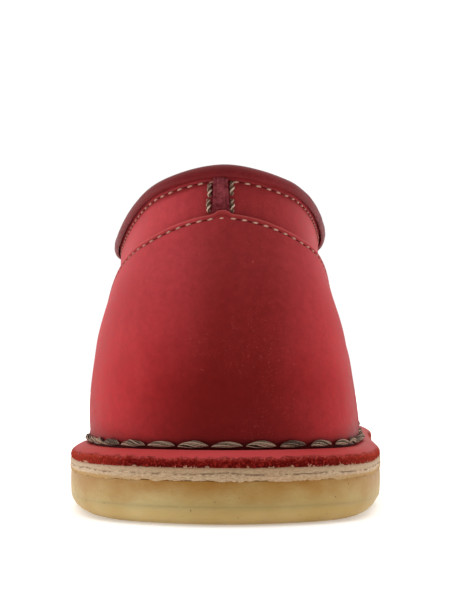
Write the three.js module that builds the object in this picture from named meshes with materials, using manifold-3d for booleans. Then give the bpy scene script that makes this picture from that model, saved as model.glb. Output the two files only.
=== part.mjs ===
// Lace-up leather shoe for the right foot, stitched down on a crepe rubber sole.
// Millimetres, +Z up. The toe points to +Y and the outer side of the foot to +X.
// The origin is on the floor, below the middle of the sole's length and width.
import * as THREE from "three";
import { mergeVertices } from "three/addons/utils/BufferGeometryUtils.js";
import Module from "manifold-3d";

const wasm = await Module();
wasm.setup();

// Driving sizes
const SHOE_LENGTH = 298;
const BALL_WIDTH = 107;
const INSTEP_HEIGHT = 92;
const BACK_HEIGHT = 81;
const TOE_SPRING = 7;
const ARCH_RISE = 1.2;

// Thicknesses of the layers, from the floor up, and of the leathers
const OUTSOLE_THICK = 4.2;
const WEDGE_HEEL_THICK = 5.5;
const WEDGE_TOE_THICK = 4.7;
const MIDSOLE_THICK = 2.5;
const LIP_THICK = 2.3;
const INSOLE_THICK = 3;
const WALL = 1.9;
const QUARTER_STEP = 1.1;
const COUNTER_THICK = 1.3;
const TONGUE_THICK = 1.8;
const GAP = 0.3;

// Rounding of the crepe's lower edge, inwards and upwards, and of the lip's upper edge, which climbs to the wall
const TREAD_ROUND_IN = 6;
const TREAD_ROUND_UP = 4;
const LIP_ROUND = 0.8;
const LIP_CLIMB = 1.4;

// Where the sole bends, as shares of its length from the heel
const ARCH_START = 0.3;
const ARCH_END = 0.56;
const SPRING_START = 0.67;
const WEDGE_START = 0.2;
const WEDGE_END = 0.64;

// Sections round the last, from the middle of the heel along the outer side to the toe and back along
// the inner side. Each is a rib that climbs from the sole's edge to the top line:
// along: share of SHOE_LENGTH from the heel, %; across: share of half BALL_WIDTH, outer side positive, %
// lip: width of the turned-out edge; swell and rise: how the rib leaves it, outwards and upwards
// height: share of the measure named by "of", %
const BACK = BACK_HEIGHT / 100;
const INSTEP = INSTEP_HEIGHT / 100;
const SECTIONS = [
  { name: "heel", along: 0, across: -1.9, lip: 8, swell: 1.6, rise: 22.6,
    crown: { along: 3.2, across: -2, height: 72 }, top: { along: 5, across: -2.4, height: 100 }, of: BACK },
  { name: "outer heel corner", along: 4.1, across: 51.5, lip: 8, swell: 2.4, rise: 22.6,
    crown: { along: 5.8, across: 30, height: 69.4 }, top: { along: 7, across: 24, height: 96.9 }, of: BACK },
  { name: "outer heel side", along: 14.8, across: 69.9, lip: 8.1, swell: 1.9, rise: 22.6,
    crown: { along: 18.5, across: 37.6, height: 64.6 }, top: { along: 20.1, across: 44, height: 90.4 }, of: BACK },
  { name: "outer ankle", along: 25.5, across: 75.9, lip: 8.4, swell: 1.6, rise: 23,
    crown: { along: 30.2, across: 36.5, height: 64 }, top: { along: 32.2, across: 40, height: 90.2 }, of: BACK },
  { name: "outer facing", along: 35.6, across: 80, lip: 6.8, swell: 1.5, rise: 27,
    crown: { along: 41, across: 50, height: 80 }, top: { along: 44, across: 17.5, height: 96.5 }, of: INSTEP },
  { name: "outer throat", along: 49.7, across: 87.6, lip: 6.3, swell: 1.5, rise: 24,
    crown: { along: 53.7, across: 45, height: 71.5 }, top: { along: 56.4, across: 10.3, height: 79.8 }, of: INSTEP },
  { name: "outer ball", along: 66.5, across: 98.6, lip: 5.5, swell: 1.5, rise: 20,
    crown: { along: 62.4, across: 40, height: 65.5 }, top: { along: 57.4, across: 6, height: 79 }, of: INSTEP },
  { name: "outer toe side", along: 82.2, across: 86.5, lip: 5.5, swell: 1.5, rise: 20,
    crown: { along: 73, across: 32, height: 59.5 }, top: { along: 57.8, across: -1, height: 78.9 }, of: INSTEP },
  { name: "outer toe corner", along: 94.6, across: 50, lip: 5.8, swell: 1.5, rise: 20.5,
    crown: { along: 83, across: 18, height: 55 }, top: { along: 57.95, across: -4.3, height: 78.9 }, of: INSTEP },
  { name: "toe", along: 100, across: -8.4, lip: 6, swell: 1.5, rise: 21,
    crown: { along: 85.6, across: -8.4, height: 53.5 }, top: { along: 58, across: -7, height: 78.9 }, of: INSTEP },
  { name: "inner toe corner", along: 95.4, across: -61, lip: 5.8, swell: 1.5, rise: 20.5,
    crown: { along: 83.5, across: -34.8, height: 55 }, top: { along: 57.95, across: -9.7, height: 78.9 }, of: INSTEP },
  { name: "inner toe side", along: 84.4, across: -92, lip: 5.5, swell: 1.5, rise: 21,
    crown: { along: 74.3, across: -47, height: 59.5 }, top: { along: 57.8, across: -12.9, height: 78.9 }, of: INSTEP },
  { name: "inner ball", along: 69.5, across: -99.8, lip: 5.5, swell: 1.5, rise: 22,
    crown: { along: 64.4, across: -50.5, height: 66.5 }, top: { along: 57.4, across: -19.4, height: 79.1 }, of: INSTEP },
  { name: "inner throat", along: 51, across: -76.6, lip: 6.3, swell: 2.5, rise: 27,
    crown: { along: 54.4, across: -54, height: 74 }, top: { along: 56.4, across: -23.4, height: 80 }, of: INSTEP },
  { name: "inner facing", along: 35.6, across: -64.5, lip: 6.6, swell: 3, rise: 29,
    crown: { along: 41, across: -61, height: 81 }, top: { along: 44, across: -29, height: 97 }, of: INSTEP },
  { name: "inner ankle", along: 25.5, across: -74, lip: 8.6, swell: 2.6, rise: 24,
    crown: { along: 30.2, across: -47.5, height: 65 }, top: { along: 32.2, across: -50.5, height: 88.4 }, of: BACK },
  { name: "inner heel side", along: 14.8, across: -75.4, lip: 7.9, swell: 3.6, rise: 22.6,
    crown: { along: 18.5, across: -49, height: 64.6 }, top: { along: 20.1, across: -52.6, height: 86.4 }, of: BACK },
  { name: "inner heel corner", along: 4.1, across: -55, lip: 8, swell: 2.8, rise: 22.6,
    crown: { along: 5.8, across: -34.5, height: 69.4 }, top: { along: 7, across: -28, height: 96.8 }, of: BACK },
];
const SECTION_COUNT = SECTIONS.length;
const sectionNumber = (name) => SECTIONS.findIndex((section) => section.name === name);
const FACING = sectionNumber("outer facing");
const THROAT = sectionNumber("outer throat");

// How finely the solids are cut
const STEPS_PER_SECTION = 4;
const CLIMB_MIDDLE = 5.5;
const CLIMB_HALF = 1;
const WALL_SHARES = [0.07, 0.18, 0.32, 0.48, 0.64, 0.8, 0.9, 0.95, 1];
const LINING_SHARES = [1, 0.95, 0.9, 0.76, 0.58, 0.38, 0.2, 0.06];

// Heel counter: its upper edge arches over the back seam and falls to the lip at the waist.
// Heights are shares of BACK_HEIGHT, %; places are in sections from the heel
const COUNTER_LEVEL = 69.7;
const COUNTER_PEAK = 17.2;
const COUNTER_PEAK_HALF = 1.4;
const COUNTER_FALL_START = 1.05;
const COUNTER_FALL_END = 3.7;
const COUNTER_FOOT = 0.05;
const COUNTER_COLUMNS = 36;
const COUNTER_ROWS = 6;

// Strip over the back seam
const STRIP_WIDTH = 3.9;
const STRIP_PROUD = 1.9;
const STRIP_ASIDE = -0.7;
const STRIP_ROWS = 4;

// Binding folded over the collar's edge, and where it stops on the facings, in sections from the heel
const BINDING_REACH = 3.75;
const BINDING_DEPTH = 2;
const BINDING_SKIN = 1;
const BINDING_EASE = 0.6;
const BINDING_CREST = 1.8;

// Lacing: pairs of eyelets on the facings
const EYELET_PAIRS = 3;
const EYELET_FIRST = 4.2;
const EYELET_LAST = 4.84;
const EYELET_INSET = 8.5;
const EYELET_HOLE = 2.7;
const EYELET_BARREL = 2.4;
const EYELET_BORE = 2;
const EYELET_FLANGE = 3.7;
const EYELET_CREST = 0.9;
const LACE_RADIUS = 1.35;
const LACE_LIFT = 2.75;
const LACE_BEND = 2.8;
const LACE_CREST = 1.2;

// Tongue: an arched sheet from under the vamp to above the top eyelets.
// along: share of SHOE_LENGTH, %; ridge: its middle's height, share of INSTEP_HEIGHT, %
// half: half its width, share of half BALL_WIDTH, %; drop: how far its edges hang below the ridge
// bend: how late the arch turns down
const TONGUE_AXIS = -4.7;
const TONGUE_ROWS = [
  { along: 62.1, ridge: 71.8, half: 22.4, drop: 4.5, bend: 2 },
  { along: 58.7, ridge: 75.2, half: 26.2, drop: 5.3, bend: 2 },
  { along: 56.7, ridge: 77.2, half: 31.8, drop: 8.5, bend: 2.2 },
  { along: 53.4, ridge: 82.6, half: 38.3, drop: 17, bend: 2.8 },
  { along: 50, ridge: 88.4, half: 39.3, drop: 18, bend: 2.85 },
  { along: 46.6, ridge: 92.9, half: 39.3, drop: 17.8, bend: 2.85 },
  { along: 43.3, ridge: 96.7, half: 36, drop: 20.5, bend: 2.85 },
  { along: 40.6, ridge: 100, half: 30.5, drop: 20, bend: 2.85 },
  { along: 37.9, ridge: 104.3, half: 23, drop: 11, bend: 2.85 },
];
const TONGUE_STATIONS = 16;
const TONGUE_ACROSS = 10;

const LEATHER = new THREE.MeshStandardMaterial({ name: "red leather", color: 0x9c2228, roughness: 0.5 });
const BINDING_LEATHER = new THREE.MeshStandardMaterial({ name: "dark red leather", color: 0x6b1d22, roughness: 0.55 });
const RUNNER_LEATHER = new THREE.MeshStandardMaterial({ name: "natural leather", color: 0xb59672, roughness: 0.9 });
const CREPE = new THREE.MeshStandardMaterial({ name: "crepe rubber", color: 0xb8975a, roughness: 0.6 });
const INSOLE_LEATHER = new THREE.MeshStandardMaterial({ name: "insole leather", color: 0xa98257, roughness: 0.8 });
const BRASS = new THREE.MeshStandardMaterial({ name: "aged brass", color: 0x7a6238, roughness: 0.4, metalness: 1 });
const LACE_COTTON = new THREE.MeshStandardMaterial({ name: "waxed cotton", color: 0x5e2024, roughness: 0.85 });

const shoe = new THREE.Group();
shoe.name = "lace_up_shoe";

function addPiece(name, geometry, material, parent = shoe) {
  geometry.computeVertexNormals();
  const piece = new THREE.Mesh(geometry, material);
  piece.name = name;
  parent.add(piece);
  return piece;
}

// Places in the shoe's own measures
const alongToY = (percent) => (percent / 100 - 0.5) * SHOE_LENGTH;
const acrossToX = (percent) => (percent / 100) * (BALL_WIDTH / 2);
const shareAlong = (y) => y / SHOE_LENGTH + 0.5;
const smooth = THREE.MathUtils.smoothstep;
const mix = THREE.MathUtils.lerp;

// Heights of the sole's layers at a place along the shoe
function treadHeight(y) {
  const share = shareAlong(y);
  const archShare = THREE.MathUtils.clamp((share - ARCH_START) / (ARCH_END - ARCH_START), 0, 1);
  const springShare = Math.max(0, (share - SPRING_START) / (1 - SPRING_START));
  return ARCH_RISE * Math.sin(Math.PI * archShare) ** 2 + TOE_SPRING * springShare ** 2;
}

function wedgeThick(y) {
  return mix(WEDGE_HEEL_THICK, WEDGE_TOE_THICK, smooth(shareAlong(y), WEDGE_START, WEDGE_END));
}

const wedgeBottom = (y) => treadHeight(y) + OUTSOLE_THICK + GAP;
const midsoleBottom = (y) => wedgeBottom(y) + wedgeThick(y) + GAP;
const lipBottom = (y) => midsoleBottom(y) + MIDSOLE_THICK + GAP;
const lipTop = (y) => lipBottom(y) + LIP_THICK;

// The sole's outline: one smooth closed curve through the sections' feet, fitted to length and ball width
function makeOutline() {
  const feet = SECTIONS.map((s) => new THREE.Vector3(acrossToX(s.across), alongToY(s.along), 0));
  const rough = new THREE.CatmullRomCurve3(feet, true, "centripetal");
  const box = new THREE.Box3().setFromPoints(rough.getPoints(SECTION_COUNT * 40));
  const size = box.getSize(new THREE.Vector3());
  const centre = box.getCenter(new THREE.Vector3());
  const fitted = feet.map((p) => new THREE.Vector3(
    (p.x - centre.x) * (BALL_WIDTH / size.x),
    (p.y - centre.y) * (SHOE_LENGTH / size.y),
    0,
  ));
  return new THREE.CatmullRomCurve3(fitted, true, "centripetal");
}

const outline = makeOutline();
const turn = (section) => THREE.MathUtils.euclideanModulo(section / SECTION_COUNT, 1);

// A point of the outline, drawn in towards the foot
function soleEdge(section, inset) {
  const t = turn(section);
  const p = outline.getPoint(t);
  const tangent = outline.getTangent(t);
  return new THREE.Vector2(p.x - tangent.y * inset, p.y + tangent.x * inset);
}

const lipCurve = new THREE.CatmullRomCurve3(
  SECTIONS.map((s, i) => new THREE.Vector3(s.lip, i, 0)), true, "catmullrom");
const lipWidth = (section) => lipCurve.getPoint(turn(section)).x;

// The last: four closed curves round the foot, and a cubic rib between them at any place
function ringOf(pointOf) {
  return new THREE.CatmullRomCurve3(SECTIONS.map(pointOf), true, "centripetal");
}

function footPoint(section) {
  const p = soleEdge(section, lipWidth(section));
  return new THREE.Vector3(p.x, p.y, lipTop(p.y));
}

const placeOf = (spot, measure) =>
  new THREE.Vector3(acrossToX(spot.across), alongToY(spot.along), spot.height * measure);
const wallRing = ringOf((s, i) => {
  const p = soleEdge(i, s.lip - s.swell);
  return new THREE.Vector3(p.x, p.y, lipTop(p.y) + s.rise);
});
const crownRing = ringOf((s) => placeOf(s.crown, s.of));
const topRing = ringOf((s) => placeOf(s.top, s.of));

function lastPoint(section, share) {
  const t = turn(section);
  const rest = 1 - share;
  return footPoint(section).multiplyScalar(rest ** 3)
    .addScaledVector(wallRing.getPoint(t), 3 * rest * rest * share)
    .addScaledVector(crownRing.getPoint(t), 3 * rest * share * share)
    .addScaledVector(topRing.getPoint(t), share ** 3);
}

const NUDGE = 0.002;

function alongRib(section, share) {
  const low = Math.max(0, share - NUDGE);
  const high = Math.min(1, share + NUDGE);
  return lastPoint(section, high).sub(lastPoint(section, low)).normalize();
}

function outward(section, share) {
  const round = lastPoint(section + NUDGE, share).sub(lastPoint(section - NUDGE, share));
  return round.cross(alongRib(section, share)).normalize();
}

// The last's surface, grown by a distance
function skin(section, share, grow) {
  return lastPoint(section, share).addScaledVector(outward(section, share), grow);
}

// The share of the rib that lies a given length below its top
function shareBelowTop(section, length) {
  const step = 0.004;
  let share = 1;
  let left = length;
  let here = lastPoint(section, share);
  while (left > 0 && share > step) {
    const next = lastPoint(section, share - step);
    const walked = next.distanceTo(here);
    share -= step * Math.min(1, left / walked);
    left -= walked;
    here = next;
  }
  return share;
}

// Mesh building: points in rows become one closed body
function geometryOf(points, faces) {
  const geometry = new THREE.BufferGeometry();
  geometry.setAttribute("position", new THREE.Float32BufferAttribute(points.flatMap((p) => [p.x, p.y, p.z]), 3));
  geometry.setIndex(faces);
  return geometry;
}

// Closed loops joined one to the next, and the last to the first
function closedLoft(loops) {
  const size = loops[0].length;
  const faces = [];
  loops.forEach((_, i) => {
    const next = (i + 1) % loops.length;
    for (let j = 0; j < size; j += 1) {
      const up = (j + 1) % size;
      faces.push(i * size + j, next * size + j, next * size + up);
      faces.push(i * size + j, next * size + up, i * size + up);
    }
  });
  return geometryOf(loops.flat(), faces);
}

// Closed loops of one profile joined one to the next, with its own face over each end
function cappedLoft(loops, profile) {
  const size = loops[0].length;
  const faces = [];
  for (let i = 0; i + 1 < loops.length; i += 1) {
    for (let j = 0; j < size; j += 1) {
      const up = (j + 1) % size;
      faces.push(i * size + j, (i + 1) * size + j, (i + 1) * size + up);
      faces.push(i * size + j, (i + 1) * size + up, i * size + up);
    }
  }
  const last = (loops.length - 1) * size;
  const flat = profile.map(([x, y]) => new THREE.Vector2(x, y));
  for (const [a, b, c] of THREE.ShapeUtils.triangulateShape(flat, [])) {
    faces.push(a, b, c, last + a, last + c, last + b);
  }
  return geometryOf(loops.flat(), faces);
}

// The body between two sheets of points, each a list of rows of equal length
function slab(outer, inner) {
  const rows = outer.length;
  const size = outer[0].length;
  const under = rows * size;
  const at = (i, j) => i * size + j;
  const faces = [];
  const quad = (a, b, c, d) => faces.push(a, b, c, a, c, d);
  for (let i = 0; i + 1 < rows; i += 1) {
    for (let j = 0; j + 1 < size; j += 1) {
      quad(at(i, j), at(i + 1, j), at(i + 1, j + 1), at(i, j + 1));
      quad(under + at(i, j), under + at(i, j + 1), under + at(i + 1, j + 1), under + at(i + 1, j));
    }
    quad(at(i, 0), under + at(i, 0), under + at(i + 1, 0), at(i + 1, 0));
    quad(at(i, size - 1), at(i + 1, size - 1), under + at(i + 1, size - 1), under + at(i, size - 1));
  }
  for (let j = 0; j + 1 < size; j += 1) {
    quad(at(0, j), at(0, j + 1), under + at(0, j + 1), under + at(0, j));
    quad(at(rows - 1, j), under + at(rows - 1, j), under + at(rows - 1, j + 1), at(rows - 1, j + 1));
  }
  return geometryOf([...outer.flat(), ...inner.flat()], faces);
}

// Level rings stacked from the lowest up, closed below and above by rungs from the outer side to the inner side
function stack(rings) {
  const size = rings[0].length;
  const faces = [];
  for (let i = 0; i + 1 < rings.length; i += 1) {
    for (let j = 0; j < size; j += 1) {
      const up = (j + 1) % size;
      faces.push(i * size + j, i * size + up, (i + 1) * size + up);
      faces.push(i * size + j, (i + 1) * size + up, (i + 1) * size + j);
    }
  }
  const lid = (rings.length - 1) * size;
  for (let j = 0; j < size / 2; j += 1) {
    const far = (size - j) % size;
    const farNext = size - j - 1;
    for (const [a, b, c] of [[j, far, farNext], [j, farNext, j + 1]]) {
      if (a === b || b === c || a === c) continue;
      faces.push(a, b, c, lid + a, lid + c, lid + b);
    }
  }
  return geometryOf(rings.flat(), faces);
}

// Places round the shoe where the solids are cut, closer where the collar climbs to the facings
const isClimb = (section) => Math.abs(Math.abs(section - SECTION_COUNT / 2) - CLIMB_MIDDLE) < CLIMB_HALF;
const ROUND = Array.from({ length: SECTION_COUNT * STEPS_PER_SECTION * 2 }, (_, i) => i / STEPS_PER_SECTION / 2)
  .filter((section, i) => i % 2 === 0 || isClimb(section));

function levelRing(inset, heightAt) {
  return ROUND.map((section) => {
    const p = soleEdge(section, typeof inset === "function" ? inset(section) : inset);
    return new THREE.Vector3(p.x, p.y, heightAt(p.y));
  });
}

// Sole: crepe outsole with its rounded lower edge, crepe wedge and leather runner
function makeOutsole() {
  const roundRing = (degrees) => {
    const turnAngle = THREE.MathUtils.degToRad(degrees);
    const inset = TREAD_ROUND_IN * (1 - Math.sin(turnAngle));
    return levelRing(inset, (y) => treadHeight(y) + TREAD_ROUND_UP * (1 - Math.cos(turnAngle)));
  };
  const top = levelRing(0, (y) => treadHeight(y) + OUTSOLE_THICK);
  return stack([roundRing(0), roundRing(30), roundRing(60), roundRing(90), top]);
}

function makeLayer(bottomAt, thickAt) {
  return stack([levelRing(0, bottomAt), levelRing(0, (y) => bottomAt(y) + thickAt(y))]);
}

function makeInsole() {
  const inset = (section) => lipWidth(section) + WALL + 2 * GAP;
  return stack([levelRing(inset, lipBottom), levelRing(inset, (y) => lipBottom(y) + INSOLE_THICK)]);
}

// Upper: quarters and vamp in one wall, turned out at the foot into the lip that is stitched down.
// The quarters lie on the vamp, so the wall steps up at the throat's rib on each side.
function upperLoop(section, step) {
  const at = (inset, heightAt) => {
    const p = soleEdge(section, inset);
    return new THREE.Vector3(p.x, p.y, heightAt(p.y));
  };
  const lip = lipWidth(section);
  return [
    at(0, lipBottom),
    at(0, (y) => lipTop(y) - LIP_ROUND),
    at(LIP_ROUND, lipTop),
    at(lip - step - GAP, (y) => lipTop(y) + LIP_CLIMB),
    ...WALL_SHARES.map((share) => skin(section, share, step)),
    ...LINING_SHARES.map((share) => skin(section, share, -WALL)),
    at(lip + WALL, lipBottom),
  ];
}

function makeUpper() {
  const isQuarter = (section) => section <= THROAT || section >= SECTION_COUNT - THROAT;
  const loops = [];
  for (const section of ROUND) {
    const step = isQuarter(section) ? QUARTER_STEP : 0;
    if (section === SECTION_COUNT - THROAT) loops.push(upperLoop(section - 0.03, 0));
    loops.push(upperLoop(section, step));
    if (section === THROAT) loops.push(upperLoop(section + 0.03, 0));
  }
  const holes = eyelets.map(({ centre, axis }) => boreSolid(centre, axis));
  return holes.reduce((solid, hole) => solid.subtract(hole), solidOf(closedLoft(loops)));
}

// Booleans
function solidOf(geometry) {
  const bare = geometry.clone();
  for (const name of Object.keys(bare.attributes)) {
    if (name !== "position") bare.deleteAttribute(name);
  }
  const merged = mergeVertices(bare);
  return new wasm.Manifold(new wasm.Mesh({
    numProp: 3,
    vertProperties: new Float32Array(merged.attributes.position.array),
    triVerts: new Uint32Array(merged.index.array),
  }));
}

function geometryFromSolid(solid) {
  const mesh = solid.getMesh();
  const geometry = new THREE.BufferGeometry();
  geometry.setAttribute("position", new THREE.BufferAttribute(new Float32Array(mesh.vertProperties), 3));
  geometry.setIndex(new THREE.BufferAttribute(new Uint32Array(mesh.triVerts), 1));
  return geometry;
}

const UP = new THREE.Vector3(0, 0, 1);

function boreSolid(centre, axis) {
  const bore = new THREE.CylinderGeometry(EYELET_HOLE, EYELET_HOLE, 4 * (WALL + QUARTER_STEP), 12);
  bore.rotateX(Math.PI / 2);
  bore.applyQuaternion(new THREE.Quaternion().setFromUnitVectors(UP, axis));
  bore.translate(centre.x, centre.y, centre.z);
  return solidOf(bore);
}

// Eyelets: pairs along the facings, each set square to the leather
function makeEyelets() {
  const places = [];
  for (let pair = 0; pair < EYELET_PAIRS; pair += 1) {
    const section = mix(EYELET_LAST, EYELET_FIRST, pair / (EYELET_PAIRS - 1));
    for (const [side, place] of [["outer", section], ["inner", SECTION_COUNT - section]]) {
      const share = shareBelowTop(place, EYELET_INSET);
      places.push({
        name: `eyelet_${side}_${pair + 1}`,
        pair,
        section: place,
        centre: skin(place, share, QUARTER_STEP),
        axis: outward(place, share),
      });
    }
  }
  return places;
}

function eyeletGeometry() {
  const depth = QUARTER_STEP + WALL - GAP;
  const profile = [
    [EYELET_BORE, -depth], [EYELET_BARREL, -depth], [EYELET_BARREL, GAP], [EYELET_FLANGE, GAP],
    [EYELET_FLANGE - 0.3, EYELET_CREST], [EYELET_BARREL, EYELET_CREST], [EYELET_BORE, 0.5], [EYELET_BORE, -depth],
  ].map(([radius, height]) => new THREE.Vector2(radius, height));
  return new THREE.LatheGeometry(profile, 14).rotateX(Math.PI / 2);
}

// A lace's bar: up out of one eyelet, over the facing's edge, across the throat and down into its partner
function barLeg({ section, centre, axis }) {
  const edge = skin(section, 1, QUARTER_STEP + LACE_RADIUS + 2 * GAP);
  const towards = edge.clone().sub(centre).projectOnPlane(axis).normalize();
  const legs = [[2 * GAP - QUARTER_STEP - WALL, 0], [0, 0], [0.6 * LACE_LIFT, 0.25], [0.92 * LACE_LIFT, 1.2],
    [LACE_LIFT, LACE_BEND]];
  return [
    ...legs.map(([lift, shift]) =>
      centre.clone().addScaledVector(axis, lift).addScaledVector(towards, shift)),
    edge,
  ];
}

function barGeometry(from, to) {
  const start = barLeg(from);
  const end = barLeg(to).reverse();
  const crest = start.at(-1).clone().add(end[0]).multiplyScalar(0.5);
  crest.z += LACE_CREST;
  const path = new THREE.CatmullRomCurve3([...start, crest, ...end], false, "centripetal");
  const section = new THREE.Shape().absarc(0, 0, LACE_RADIUS, 0, 2 * Math.PI, false);
  return new THREE.ExtrudeGeometry(section, { extrudePath: path, steps: 28, curveSegments: 4 });
}

// Heel counter: a panel laid over the quarters, from the lip to below the collar, falling away towards the waist
function shareAtHeight(section, height) {
  let [low, high] = [0, 1];
  for (let i = 0; i < 24; i += 1) {
    const middle = (low + high) / 2;
    if (lastPoint(section, middle).z < height) low = middle;
    else high = middle;
  }
  return low;
}

function counterShare(section) {
  const level = COUNTER_LEVEL + COUNTER_PEAK * Math.exp(-((section / COUNTER_PEAK_HALF) ** 2));
  const edge = shareAtHeight(section, level * BACK);
  const way = Math.max(0, (Math.abs(section) - COUNTER_FALL_START) / (COUNTER_FALL_END - COUNTER_FALL_START));
  return mix(edge, COUNTER_FOOT + 0.02, way ** 1.7);
}

function makeCounter() {
  const sheet = (grow) => Array.from({ length: COUNTER_COLUMNS + 1 }, (_, i) => {
    const section = mix(-COUNTER_FALL_END, COUNTER_FALL_END, i / COUNTER_COLUMNS);
    return Array.from({ length: COUNTER_ROWS + 1 }, (_, j) =>
      skin(section, mix(COUNTER_FOOT, counterShare(section), j / COUNTER_ROWS), grow));
  });
  const seat = QUARTER_STEP + GAP;
  return slab(sheet(seat + COUNTER_THICK), sheet(seat));
}

// Strip over the back seam, between the counter and the binding
function makeBackStrip() {
  const low = counterShare(0) + 0.006;
  const high = shareBelowTop(0, BINDING_DEPTH + GAP);
  const sheet = (grow, narrow) => [-1, -0.5, 0.5, 1].map((side) =>
    Array.from({ length: STRIP_ROWS + 1 }, (_, j) => {
      const share = mix(low, high, j / STRIP_ROWS);
      const p = skin(0, share, grow);
      p.x += STRIP_ASIDE + side * (STRIP_WIDTH / 2 - narrow);
      return p;
    }));
  const seat = QUARTER_STEP + 2 * GAP;
  return slab(sheet(seat + STRIP_PROUD, 0.5), sheet(seat, 0));
}

// Binding: leather folded over the collar's edge from facing to facing, its groove clear of the wall
function edgeFrame(section) {
  const along = lastPoint(section + NUDGE, 1).sub(lastPoint(section - NUDGE, 1)).normalize();
  const out = outward(section, 1);
  return { edge: lastPoint(section, 1), out, up: out.clone().cross(along).normalize() };
}

function makeBinding() {
  const groove = [QUARTER_STEP + BINDING_EASE, -WALL - BINDING_EASE];
  const face = [groove[0] + BINDING_SKIN, groove[1] - BINDING_SKIN];
  const shoulder = [mix(face[0], face[1], 0.1), mix(face[0], face[1], 0.9)];
  const crest = [mix(face[0], face[1], 0.3), mix(face[0], face[1], 0.7)];
  const profile = [
    [groove[0] + GAP, -BINDING_DEPTH], [face[0], -BINDING_DEPTH + GAP], [face[0], -BINDING_DEPTH / 2], [shoulder[0], 0.8],
    [crest[0], BINDING_CREST], [crest[1], BINDING_CREST],
    [shoulder[1], 0.8], [face[1], -BINDING_DEPTH / 2], [face[1], -BINDING_DEPTH + GAP], [groove[1], -BINDING_DEPTH],
    [groove[1], BINDING_EASE], [groove[0], BINDING_EASE],
  ];
  const fromHeel = ROUND.map((section) => (section > SECTION_COUNT / 2 ? section - SECTION_COUNT : section));
  const places = fromHeel.filter((section) => Math.abs(section) <= BINDING_REACH).sort((a, b) => a - b);
  return cappedLoft(places.map((section) => {
    const { edge, out, up } = edgeFrame(section);
    return profile.map(([grow, lift]) => edge.clone().addScaledVector(out, grow).addScaledVector(up, lift));
  }), profile);
}

// Tongue: its upper face from the table, its lower face square below that
function tongueMeasure(t) {
  const last = TONGUE_ROWS.length - 1;
  const i = Math.min(Math.floor(t * last), last - 1);
  const row = (k) => TONGUE_ROWS[THREE.MathUtils.clamp(k, 0, last)];
  const u = t * last - i;
  const blend = (key) => {
    const [p, a, b, n] = [i - 1, i, i + 1, i + 2].map((k) => row(k)[key]);
    return a + 0.5 * u * (b - p + u * (2 * p - 5 * a + 4 * b - n + u * (3 * (a - b) + n - p)));
  };
  return { along: blend("along"), ridge: blend("ridge"), half: blend("half"), drop: blend("drop"), bend: blend("bend") };
}

function tonguePoint(t, side) {
  const { along, ridge, half, drop, bend } = tongueMeasure(t);
  return new THREE.Vector3(
    acrossToX(TONGUE_AXIS + half * side),
    alongToY(along),
    ridge * INSTEP - drop * Math.abs(side) ** bend,
  );
}

function makeTongue() {
  const sheet = (depth) => Array.from({ length: TONGUE_STATIONS + 1 }, (_, i) =>
    Array.from({ length: TONGUE_ACROSS + 1 }, (_, j) => {
      const t = THREE.MathUtils.clamp(i / TONGUE_STATIONS, NUDGE, 1 - NUDGE);
      const side = mix(-1, 1, j / TONGUE_ACROSS);
      const back = tonguePoint(t + NUDGE, side).sub(tonguePoint(t - NUDGE, side));
      const across = tonguePoint(t, side + NUDGE).sub(tonguePoint(t, side - NUDGE));
      return tonguePoint(t, side).addScaledVector(back.cross(across).normalize(), -depth);
    }));
  return slab(sheet(0), sheet(TONGUE_THICK));
}

const eyelets = makeEyelets();

addPiece("crepe_outsole", makeOutsole(), CREPE);
addPiece("crepe_wedge", makeLayer(wedgeBottom, wedgeThick), CREPE);
addPiece("midsole", makeLayer(midsoleBottom, () => MIDSOLE_THICK), RUNNER_LEATHER);
addPiece("insole", makeInsole(), INSOLE_LEATHER);
addPiece("upper", geometryFromSolid(makeUpper()), LEATHER);
addPiece("tongue", makeTongue(), LEATHER);
addPiece("heel_counter", makeCounter(), LEATHER);
addPiece("back_strip", makeBackStrip(), BINDING_LEATHER);
addPiece("collar_binding", makeBinding(), BINDING_LEATHER);

for (const { name, centre, axis } of eyelets) {
  const piece = addPiece(name, eyeletGeometry(), BRASS);
  piece.position.copy(centre);
  piece.quaternion.setFromUnitVectors(UP, axis);
}
for (let pair = 0; pair < EYELET_PAIRS; pair += 1) {
  const [outer, inner] = eyelets.filter((eyelet) => eyelet.pair === pair);
  addPiece(`lace_bar_${pair + 1}`, barGeometry(outer, inner), LACE_COTTON);
}

export default shoe;
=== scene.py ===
"""Lace-up leather shoe for the right foot, stitched down on a crepe rubber sole.

Sizes are in millimetres and become metres where a mesh is written. The toe points to +Y, the outer side of
the foot to +X, and the floor is at Z 0. The panels are grids wrapped round the same last that the solids are
cut from.
"""

import functools
import math

import bpy
import numpy as np
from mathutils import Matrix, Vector, noise


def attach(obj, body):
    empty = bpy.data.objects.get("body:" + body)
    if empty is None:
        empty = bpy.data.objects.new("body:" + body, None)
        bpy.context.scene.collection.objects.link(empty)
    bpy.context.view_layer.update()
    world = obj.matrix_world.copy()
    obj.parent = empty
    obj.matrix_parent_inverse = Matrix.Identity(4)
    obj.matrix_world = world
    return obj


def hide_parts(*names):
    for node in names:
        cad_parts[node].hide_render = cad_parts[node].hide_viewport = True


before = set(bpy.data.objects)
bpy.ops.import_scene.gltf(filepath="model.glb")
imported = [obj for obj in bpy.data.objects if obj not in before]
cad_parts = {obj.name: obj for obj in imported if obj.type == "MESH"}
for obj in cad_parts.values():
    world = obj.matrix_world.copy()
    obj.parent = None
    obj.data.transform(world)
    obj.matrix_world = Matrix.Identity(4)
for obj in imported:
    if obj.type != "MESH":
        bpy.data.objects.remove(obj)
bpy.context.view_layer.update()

MM = 0.001
rng = np.random.default_rng(42)

# The last: its length and width, and millimetres in a per cent of the heights of instep and back
LENGTH = 298
BALL_WIDTH = 107
INSTEP = 0.92
BACK = 0.81

# How far the faces of quarters and counter stand off the last, and how far in the lining's face lies
QUARTER = 1.1
COUNTER = 2.7
WALL = 1.9

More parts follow.
